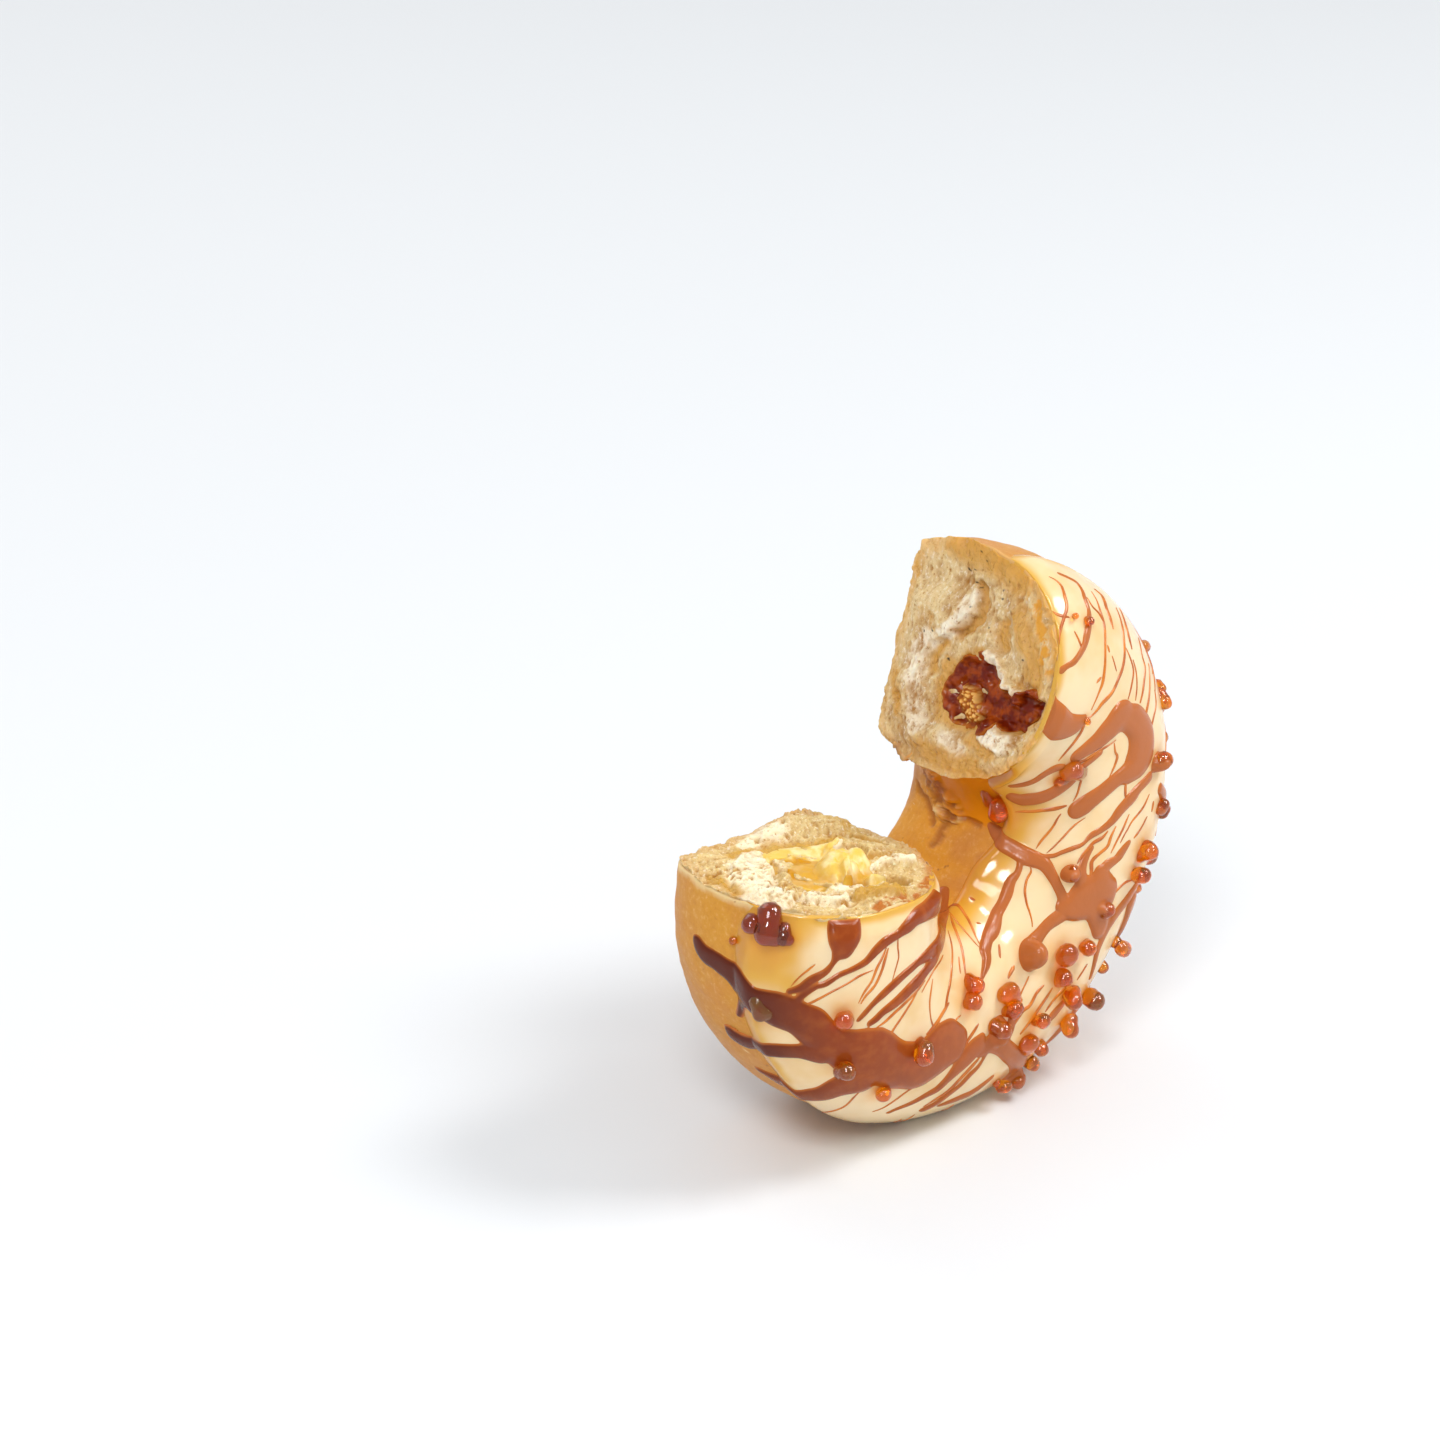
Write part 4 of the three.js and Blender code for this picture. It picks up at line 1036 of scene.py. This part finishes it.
    [(393.5, 112, 0.6), (387.5, 116, 0.6), (381.5, 119, 0.4), (378, 122, 0.4)],
    [(376, 90, 0.4), (372, 92, 0.8), (367, 92, 0.7)],
    [(360, 73, 1), (356.5, 74, 0.8)],
    [(363.5, 78, 0.5), (360.5, 82, 0.6), (357.5, 88, 0.5), (354.5, 90, 0.4), (350, 92, 0.5)],
    [(356.5, 78, 0.4), (353, 82, 0.5), (350.5, 86, 0.8)],
    [(275.5, 114, 1.1), (271, 112, 1), (269, 110, 1.1)],
    [(270, 94, 2), (269, 90, 2), (267, 87, 2)],
    [(256.5, 86, 2.4), (261, 87, 2.6), (267, 83, 3.3), (272, 74, 3.7), (276.5, 58, 3.7),
     (275.5, 49, 3.6), (272.5, 48, 2)],
    [(287.5, 94, 1), (283, 94, 1.1), (279, 92, 1.2), (275, 92, 1), (271, 90, 1.3), (269, 89, 1)],
    [(291, 90, 0.7), (286, 89, 1), (282, 88, 1), (277.5, 86, 1), (273, 84, 1.3)],
    [(281.5, 104, 0.4), (276.5, 101, 0.4), (273, 98, 0.5)],
    [(307.5, 80, 0.5), (304, 80, 0.5), (301, 80, 0.5)],
    [(293, 78, 1.5), (289, 78, 1.8), (285.5, 78, 1.3), (282.5, 80, 1)],
    [(296.5, 84, 1.3), (292.5, 85, 1), (289, 85, 0.8), (285, 84, 0.8)],
    [(330, 62, 4), (322, 44, 6), (318, 26, 4)],
    [(301, 56, 4), (291, 40, 5), (285, 24, 3)],
    [(362, 66, 2), (353, 46, 4), (350, 30, 2.4)],
    [(342, 50, 3), (338, 34, 4), (341, 20, 2)],
]
FILM_HEIGHT = 0.65
FILM_STEP = 0.22
NARROWEST_POOL = 0.8
WIDEST_THREAD = 1.5
NO_FILM = -0.3


def along_route(route, step):
    """Even samples of a smooth curve through a route's places: the two angles and the width."""
    knots = np.array([route[0], *route, route[-1]], float)
    samples = []
    for a, b, c, d in zip(knots, knots[1:], knots[2:], knots[3:]):
        length = np.hypot((c[0] - b[0]) * 0.7, (c[1] - b[1]) * 0.33)
        t = np.linspace(0, 1, max(2, int(length / step)), endpoint=False)[:, None]
        curve = 2 * b + (c - a) * t + (2 * a - 5 * b + 4 * c - d) * t**2 + (3 * b - a - 3 * c + d) * t**3
        samples.append(curve / 2)
    return np.concatenate(samples)


def flicked_threads(count, seed):
    """Fine threads flicked round the tube's outer side, near each other's direction, as routes."""
    draw = np.random.default_rng(seed)
    for _ in range(count):
        theta = draw.uniform(252, TORN_HIGH - 30)
        low = draw.uniform(8, 18)
        high = low + draw.uniform(22, 44)
        lean = draw.normal(-11, 5)
        width = draw.uniform(0.45, 1.0)
        middle = (theta + 0.6 * lean, mix(low, high, 0.5), width)
        yield [(theta, low, width * 0.6), middle, (theta + lean, high, width * 0.5)]


def film_height(theta, phi, routes):
    """The film's height over the icing on a grid of angles, below zero where there is none."""
    height = np.full(theta.shape, NO_FILM)
    where = surface(theta, phi, 0)
    strayed, strayed_up = (0.8 * layered(where, 8.0, 95 + k, 3, 0.45) for k in (0, 1))
    mm_theta = np.radians(1) * (middle_radius(theta) + section(theta, phi, 0)[0])
    step_theta, step_phi = theta[1, 0] - theta[0, 0], phi[0, 1] - phi[0, 0]
    for route in routes:
        for at, beside, width in along_route(route, 0.3):
            half = max(width, NARROWEST_POOL) / 2
            i = int((at - theta[0, 0]) / step_theta)
            j = int((beside - phi[0, 0]) / step_phi)
            if not (0 <= i < theta.shape[0] and 0 <= j < theta.shape[1]):
                continue
            wide = int((1.5 * half + 1) / mm_theta[i, j] / step_theta) + 2
            tall = int((1.5 * half + 1) / PHI_MM / step_phi) + 2
            window = np.s_[max(i - wide, 0) : i + wide + 1, max(j - tall, 0) : j + tall + 1]
            loose = min(1.0, half**2 / 4)
            across = (theta[window] - at) * mm_theta[window] + loose * strayed[window]
            up = (phi[window] - beside) * PHI_MM + loose * strayed_up[window]
            from_middle = (across**2 + up**2) / half**2
            crown = FILM_HEIGHT * min(1.0, 0.25 + half / 3)
            rise = crown * (1 - from_middle**2)
            height[window] = np.maximum(height[window], np.maximum(rise, NO_FILM))
    return height


def coated_lumps(theta, phi):
    """The film's height where it has run over a lump of crunch."""
    height = np.full(theta.shape, NO_FILM)
    for at, beside, size in COATED:
        across = (theta - at) * np.radians(1) * (middle_radius(at) + section(at, beside, 0)[0])
        up = (phi - beside) * PHI_MM
        from_middle = (across**2 + up**2) / (size / 2) ** 2
        height = np.maximum(height, size * (0.86 * np.sqrt(np.maximum(1 - from_middle, 0)) - 0.1))
    return height


def softened(height):
    """Heights evened out a little, as the film's own tension does."""
    for _ in range(2):
        for axis in (0, 1):
            padded = np.concatenate([height.take([0], axis), height, height.take([-1], axis)], axis)
            low, high = (padded.take(range(k, k + height.shape[axis]), axis) for k in (0, 2))
            height = (low + 2 * height + high) / 4
    return height


# Milk chocolate has a satin face. It is orange-brown where it is thin. Away from the lower tear it is painted
# lighter and milkier as painted light, and on the rim side near the lower tear it is painted darkest as
# shade.
chocolate, tree, shader = new_material(
    "set_milk_chocolate",
    {
        "Roughness": 0.18,
        "IOR": 1.46,
        "Specular IOR Level": 0.28,
        "Subsurface Weight": 0.06,
        "Subsurface Radius": (1.0, 0.4, 0.2),
        "Subsurface Scale": 0.8 * MM,
    },
)
thickness = attribute(tree, "thickness")
bloom = pattern(tree, "ShaderNodeTexNoise", 2.5, Detail=4.0)
brown = blend_colours(tree, ramp(tree, bloom, 0.4, 0.75), "#903C0C", "#A44E18")
# Painted light: the chocolate is painted lighter and milkier away from the lower tear.
brown = blend_colours(tree, attribute(tree, "milky"), brown, "#B66734")
# Painted shade: the chocolate is painted near-black brown on the rim side by the lower tear.
brown = blend_colours(tree, attribute(tree, "on_crust"), brown, "#5A1E06")
brown = blend_colours(tree, ramp(tree, thickness, -0.02, 0.3), "#C06A24", brown)
tree.links.new(brown, shader.inputs["Base Color"])
bumped(tree, shader, bloom, 0.12)

step_theta = np.degrees(FILM_STEP / RIM)
step_phi = np.degrees(FILM_STEP / (TUBE_WIDTH / 2))
round_ring = np.arange(TORN_LOW + 0.4, TORN_HIGH - 0.4, step_theta)
theta, phi = np.meshgrid(round_ring, np.arange(-20, 176, step_phi), indexing="ij")
wide = [route for route in RUNS if max(width for _, _, width in route) > WIDEST_THREAD]
thin = [route for route in RUNS if route not in wide]
film = softened(np.maximum(film_height(theta, phi, wide), coated_lumps(theta, phi)))
from_tear = np.radians(np.minimum(theta - theta[0, 0], theta[-1, 0] - theta)) * middle_radius(theta)
film = np.minimum(film, 1.6 * from_tear + NO_FILM)
# Painted shade mask: 1 on the rim side near the lower tear, fading out round the tube and along the ring.
on_crust = (1 - smooth(phi, 12, 62)) * (1 - smooth(theta, 203, 238))
base = np.maximum(icing_height(theta, phi), CRUST_LEVEL)
points = surface(theta, phi, base + film)
index = np.arange(film.size).reshape(film.shape)
corners = [np.s_[:-1, :-1], np.s_[1:, :-1], np.s_[1:, 1:], np.s_[:-1, 1:]]
used = np.any([film[c] > 0 for c in corners], axis=0)
quads = np.stack([index[c][used] for c in corners], -1)
numbers, quads = np.unique(quads, return_inverse=True)
drizzle = mesh_piece(
    "chocolate_drizzle",
    points.reshape(-1, 3)[numbers],
    quads.reshape(-1, 4).tolist(),
    thickness=film.ravel()[numbers],
    on_crust=on_crust.ravel()[numbers],
    # Painted light: 0 by the lower tear, rising to 1 further round the ring.
    milky=smooth(theta, 196, 300).ravel()[numbers],
)
drizzle.data.materials.append(chocolate)
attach(drizzle, "root")
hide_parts("icing")

# Chocolate threads
# The finest part of the drizzle: hair-thin threads of the same chocolate that fell from the spoon's edge in
# long sweeps, half sunk in the icing, and thin enough to look orange.
THREAD_WIDTH = (0.28, 1.3)
THREAD_STEP = 0.4
THREAD_SIDES = 6

# The same chocolate a hair thin: light comes through it, so it is orange.
thin_chocolate, tree, shader = new_material(
    "thin_milk_chocolate",
    {
        "Roughness": 0.2,
        "IOR": 1.46,
    },
)
streaks = pattern(tree, "ShaderNodeTexNoise", 3.0, Detail=3.0)
brown = blend_colours(tree, ramp(tree, streaks, 0.35, 0.65), "#D67A20", "#B85C18")
tree.links.new(brown, shader.inputs["Base Color"])

paths = bpy.data.meshes.new("thread_paths")
points, halves, edges = [], [], []
for route in [*thin, *flicked_threads(26, 77)]:
    samples = along_route(route, THREAD_STEP)
    at, beside = samples[:, 0], samples[:, 1]
    level = np.maximum(icing_height(at, beside), CRUST_LEVEL)
    along = np.linspace(0, 1, len(samples))
    taper = np.minimum(1, 0.25 + 4 * np.minimum(along, 1 - along))
    half = np.clip(samples[:, 2], *THREAD_WIDTH) / 2 * taper
    edges += [(len(points) + k, len(points) + k + 1) for k in range(len(samples) - 1)]
    middles = surface(at, beside, level + 0.09 - 0.75 * half)
    middles[:, 2] = np.maximum(middles[:, 2], 1.3 * half + 0.03)
    points += (middles * MM).tolist()
    halves += (half * MM).tolist()
paths.from_pydata(points, edges, [])
paths.attributes.new("half", "FLOAT", "POINT").data.foreach_set("value", halves)
threads = bpy.data.objects.new("chocolate_threads", paths)
bpy.context.scene.collection.objects.link(threads)


def new_group(name, **inputs):
    """A Geometry Nodes group that takes and gives a mesh, and its input node."""
    group = bpy.data.node_groups.new(name, "GeometryNodeTree")
    for label, kind in {"Geometry": "Geometry", **inputs}.items():
        group.interface.new_socket(label, in_out="INPUT", socket_type="NodeSocket" + kind)
    group.interface.new_socket("Geometry", in_out="OUTPUT", socket_type="NodeSocketGeometry")
    return group, add(group, "NodeGroupInput")


def give_out(group, made, material):
    """Ends a group with its instances made real and its material set."""
    real = add(group, "GeometryNodeRealizeInstances", None, {"Geometry": made})
    coloured = {"Geometry": real.outputs[0], "Material": material}
    coloured = add(group, "GeometryNodeSetMaterial", None, coloured)
    add(group, "NodeGroupOutput", None, {"Geometry": coloured.outputs[0]})


group, given = new_group("pour_threads", Sides="Int", Chocolate="Material")
half = add(group, "GeometryNodeInputNamedAttribute", {"data_type": "FLOAT"}, {"Name": "half"})
line = add(group, "GeometryNodeMeshToCurve", None, {"Mesh": given.outputs["Geometry"]})
circle = {"Resolution": given.outputs["Sides"], "Radius": 1.0}
round_one = add(group, "GeometryNodeCurvePrimitiveCircle", None, circle)
tube = add(
    group,
    "GeometryNodeCurveToMesh",
    None,
    {
        "Curve": line.outputs[0],
        "Profile Curve": round_one.outputs[0],
        "Scale": half.outputs["Attribute"],
        "Fill Caps": True,
    },
)
give_out(group, tube.outputs[0], given.outputs["Chocolate"])


def made_real(piece, group, settings):
    """The piece's mesh as the group makes it, with the modifier gone again."""
    modifier = piece.modifiers.new(group.name, "NODES")
    modifier.node_group = group
    sockets = {s.name: s.identifier for s in group.interface.items_tree if s.in_out == "INPUT"}
    for name, value in settings.items():
        modifier[sockets[name]] = value
    evaluated = piece.evaluated_get(bpy.context.evaluated_depsgraph_get())
    made = bpy.data.meshes.new_from_object(evaluated)
    piece.modifiers.clear()
    piece.data = made
    made.shade_smooth()


made_real(threads, group, {"Sides": THREAD_SIDES, "Chocolate": thin_chocolate})
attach(threads, "root")
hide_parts("icing")

# Caramel crunch
# Small lumps of boiled sugar that were strewn on while the icing was soft. Each is three rounded grains
# stuck together, clear amber, glassy, and sunk a little into what it lies on.
LUMP_SHAPES = 5
BURNT_BEFORE = 179


def crunch_shape(name, seed):
    """A lump one millimetre across, made of grains round its middle."""
    draw = np.random.default_rng(seed)
    mesh = bpy.data.meshes.new(name)
    build = bpy.data.meshes.new("ball")
    ball = bmesh.new()
    bmesh.ops.create_icosphere(ball, subdivisions=3, radius=1.0)
    ball.to_mesh(build)
    ball.free()
    directions = np.array([v.co for v in build.vertices])
    directions /= np.linalg.norm(directions, axis=1)[:, None]
    reach = np.zeros(len(directions))
    for _ in range(3):
        middle = draw.normal(0, 0.17, 3)
        radius = draw.uniform(0.24, 0.42)
        along = directions @ middle
        hit = along + np.sqrt(np.maximum(along**2 - middle @ middle + radius**2, 0))
        reach = np.log(np.exp(16 * reach) + np.exp(16 * hit)) / 16
    reach *= 1 + 0.07 * layered(directions, 0.7, seed, 2)
    reach /= 1.9 * reach.mean()
    mesh.from_pydata((directions * reach[:, None]).tolist(), [], [tuple(p.vertices) for p in build.polygons])
    mesh.shade_smooth()
    bpy.data.meshes.remove(build)
    return bpy.data.objects.new(name, mesh)


# Boiled sugar is clear amber glass: light goes through it and is soaked up red-brown, and the lumps by the
# lower tear are burnt darker.
caramel_glass, tree, shader = new_material(
    "boiled_sugar_amber",
    {
        "Roughness": 0.05,
        "IOR": 1.5,
        "Specular IOR Level": 0.25,
        "Coat Weight": 0.3,
        "Coat Roughness": 0.04,
        "Transmission Weight": 0.9,
        "Subsurface Weight": 0.3,
        "Subsurface Radius": (1.0, 0.35, 0.08),
        "Subsurface Scale": 1.5 * MM,
    },
)
cloud = pattern(tree, "ShaderNodeTexNoise", 2.6, Detail=3.0, Roughness=0.6)
amber = blend_colours(tree, ramp(tree, cloud, 0.4, 0.65), "#FFB41C", "#F28E10")
amber = blend_colours(tree, attribute(tree, "burnt"), amber, "#A44614")
tree.links.new(amber, shader.inputs["Base Color"])
amber_glass = {"Color": (0.9, 0.7, 0.0, 1.0), "Density": 850.0}
soaked_up = add(tree, "ShaderNodeVolumeAbsorption", None, amber_glass)
tree.links.new(soaked_up.outputs["Volume"], tree.nodes["Material Output"].inputs["Volume"])

shapes = bpy.data.collections.new("crunch_shapes")
for k in range(LUMP_SHAPES):
    shapes.objects.link(crunch_shape(f"lump_{k}", 90 + k))

places = bpy.data.meshes.new("crunch_places")
points, facings, sizes = [], [], []
for theta, phi, size, _ in crunch:
    theta, phi = np.float64(theta), np.float64(phi)
    foot = surface(theta, phi, icing_height(theta, phi) + 0.3)
    out = surface(theta, phi, 3.0, -9) - surface(theta, phi, 0.0, -9)
    out /= np.linalg.norm(out)
    middle = foot + out * size * 0.2
    middle[2] = max(middle[2], 0.8 * size)
    points.append(middle * MM)
    facings.append(out)
    sizes.append(size)
places.from_pydata([tuple(p) for p in points], [], [])
burnt = [0.8 * (theta < BURNT_BEFORE) for theta, _, _, _ in crunch]
places.attributes.new("facing", "FLOAT_VECTOR", "POINT").data.foreach_set("vector", np.ravel(facings))
places.attributes.new("burnt", "FLOAT", "POINT").data.foreach_set("value", burnt)
places.attributes.new("size", "FLOAT", "POINT").data.foreach_set("value", np.ravel(sizes) * MM)
crunch_piece = bpy.data.objects.new("caramel_crunch", places)
bpy.context.scene.collection.objects.link(crunch_piece)

group, given = new_group("strew_lumps", Lumps="Collection", Sugar="Material")
each = {"Collection": given.outputs["Lumps"], "Separate Children": True}
shapes_in = add(group, "GeometryNodeCollectionInfo", None, each)
facing = add(group, "GeometryNodeInputNamedAttribute", {"data_type": "FLOAT_VECTOR"}, {"Name": "facing"})
size = add(group, "GeometryNodeInputNamedAttribute", {"data_type": "FLOAT"}, {"Name": "size"})
facing = {"Vector": facing.outputs["Attribute"]}
upright = add(group, "FunctionNodeAlignRotationToVector", {"axis": "Z"}, facing)
turn = add(group, "FunctionNodeRandomValue", {"data_type": "FLOAT"}, {2: 0.0, 3: 6.28, "Seed": 5})
spin = add(group, "FunctionNodeAxisAngleToRotation", None, {"Angle": turn.outputs[1]})
turned = {"Rotation": upright.outputs[0], "Rotate By": spin.outputs[0]}
turned = add(group, "FunctionNodeRotateRotation", {"rotation_space": "LOCAL"}, turned)
which = add(group, "FunctionNodeRandomValue", {"data_type": "INT"}, {4: 0, 5: LUMP_SHAPES - 1, "Seed": 7})
laid = add(
    group,
    "GeometryNodeInstanceOnPoints",
    None,
    {
        "Points": given.outputs["Geometry"],
        "Instance": shapes_in.outputs[0],
        "Pick Instance": True,
        "Instance Index": which.outputs[2],
        "Rotation": turned.outputs[0],
        "Scale": size.outputs["Attribute"],
    },
)
give_out(group, laid.outputs[0], given.outputs["Sugar"])

made_real(crunch_piece, group, {"Lumps": shapes, "Sugar": caramel_glass})
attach(crunch_piece, "root")
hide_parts("icing")

# Studio
# A white table and white walls all round, soft lights at the upper right and upper left, and a weaker one
# behind. The camera looks down on the doughnut from its left.
floor_mesh = bpy.data.meshes.new("table")
floor_mesh.from_pydata([(-3, -3, 0), (3, -3, 0), (3, 3, 0), (-3, 3, 0)], [], [(0, 1, 2, 3)])
floor = bpy.data.objects.new("table", floor_mesh)
bpy.context.scene.collection.objects.link(floor)
# The table is matt white, so it takes the doughnut's warm light and only a faint shadow.
white, tree, shader = new_material(
    "matt_white_table",
    {
        "Base Color": linear("#E4E7EA"),
        "Roughness": 0.6,
    },
)
floor.data.materials.append(white)


MIDDLE = (0, 0, 0.04)


def soft_light(name, at, size, power):
    """A square light, size metres wide, that shines on the doughnut's middle."""
    light = bpy.data.lights.new(name, "AREA")
    light.size = size
    light.energy = power
    lamp = bpy.data.objects.new(name, light)
    lamp.location = at
    lamp.rotation_euler = (Vector(at) - Vector(MIDDLE)).to_track_quat("Z", "Y").to_euler()
    bpy.context.scene.collection.objects.link(lamp)
    return lamp


soft_light("upper_right", (0.52, -0.46, 0.82), 0.3, 5.6)
soft_light("upper_left", (-0.5, -0.3, 0.76), 0.3, 3.6)
soft_light("behind", (0.1, 0.7, 0.6), 0.5, 1.2)

# Three small bright panels show in the wet coats only, as the white glints on sugar, icing and chocolate.
for name, at in (("right", (0.3, -0.75, 0.6)), ("top", (0.15, -0.3, 0.95)), ("left", (-0.75, -0.5, 0.5))):
    glint = soft_light("glint_" + name, at, 0.14, 2.6)
    glint.visible_diffuse = False

world = bpy.data.worlds.new("white_walls")
world.use_nodes = True
world.node_tree.nodes["Background"].inputs["Color"].default_value = (0.99, 0.995, 1, 1)
world.node_tree.nodes["Background"].inputs["Strength"].default_value = 0.6
bpy.context.scene.world = world
bpy.context.scene.view_settings.view_transform = "Standard"

# The camera's direction, distance and aim are those that fit the photo's own perspective.
AZIMUTH, ELEVATION = np.radians(44.9), np.radians(26.0)
DISTANCE = 0.791
FOCAL_PIXELS, PICTURE = 4981, 1440
AIM = (-0.03415, 0.01823)
AXIS_SHIFT = -0.0029
back = Vector((-np.sin(AZIMUTH) * np.cos(ELEVATION), -np.cos(AZIMUTH) * np.cos(ELEVATION), np.sin(ELEVATION)))
right = Vector((np.cos(AZIMUTH), -np.sin(AZIMUTH), 0))
up = back.cross(right)
target = Vector((0, AXIS_SHIFT, RING_HEIGHT * MM)) + right * AIM[0] + up * AIM[1]
camera_data = bpy.data.cameras.new("camera")
camera_data.sensor_width = 36
camera_data.lens = FOCAL_PIXELS / PICTURE * camera_data.sensor_width
camera_data.clip_start = 0.05
camera = bpy.data.objects.new("camera", camera_data)
camera.location = target + back * DISTANCE
camera.rotation_euler = back.to_track_quat("Z", "Y").to_euler()
bpy.context.scene.collection.objects.link(camera)
bpy.context.scene.camera = camera
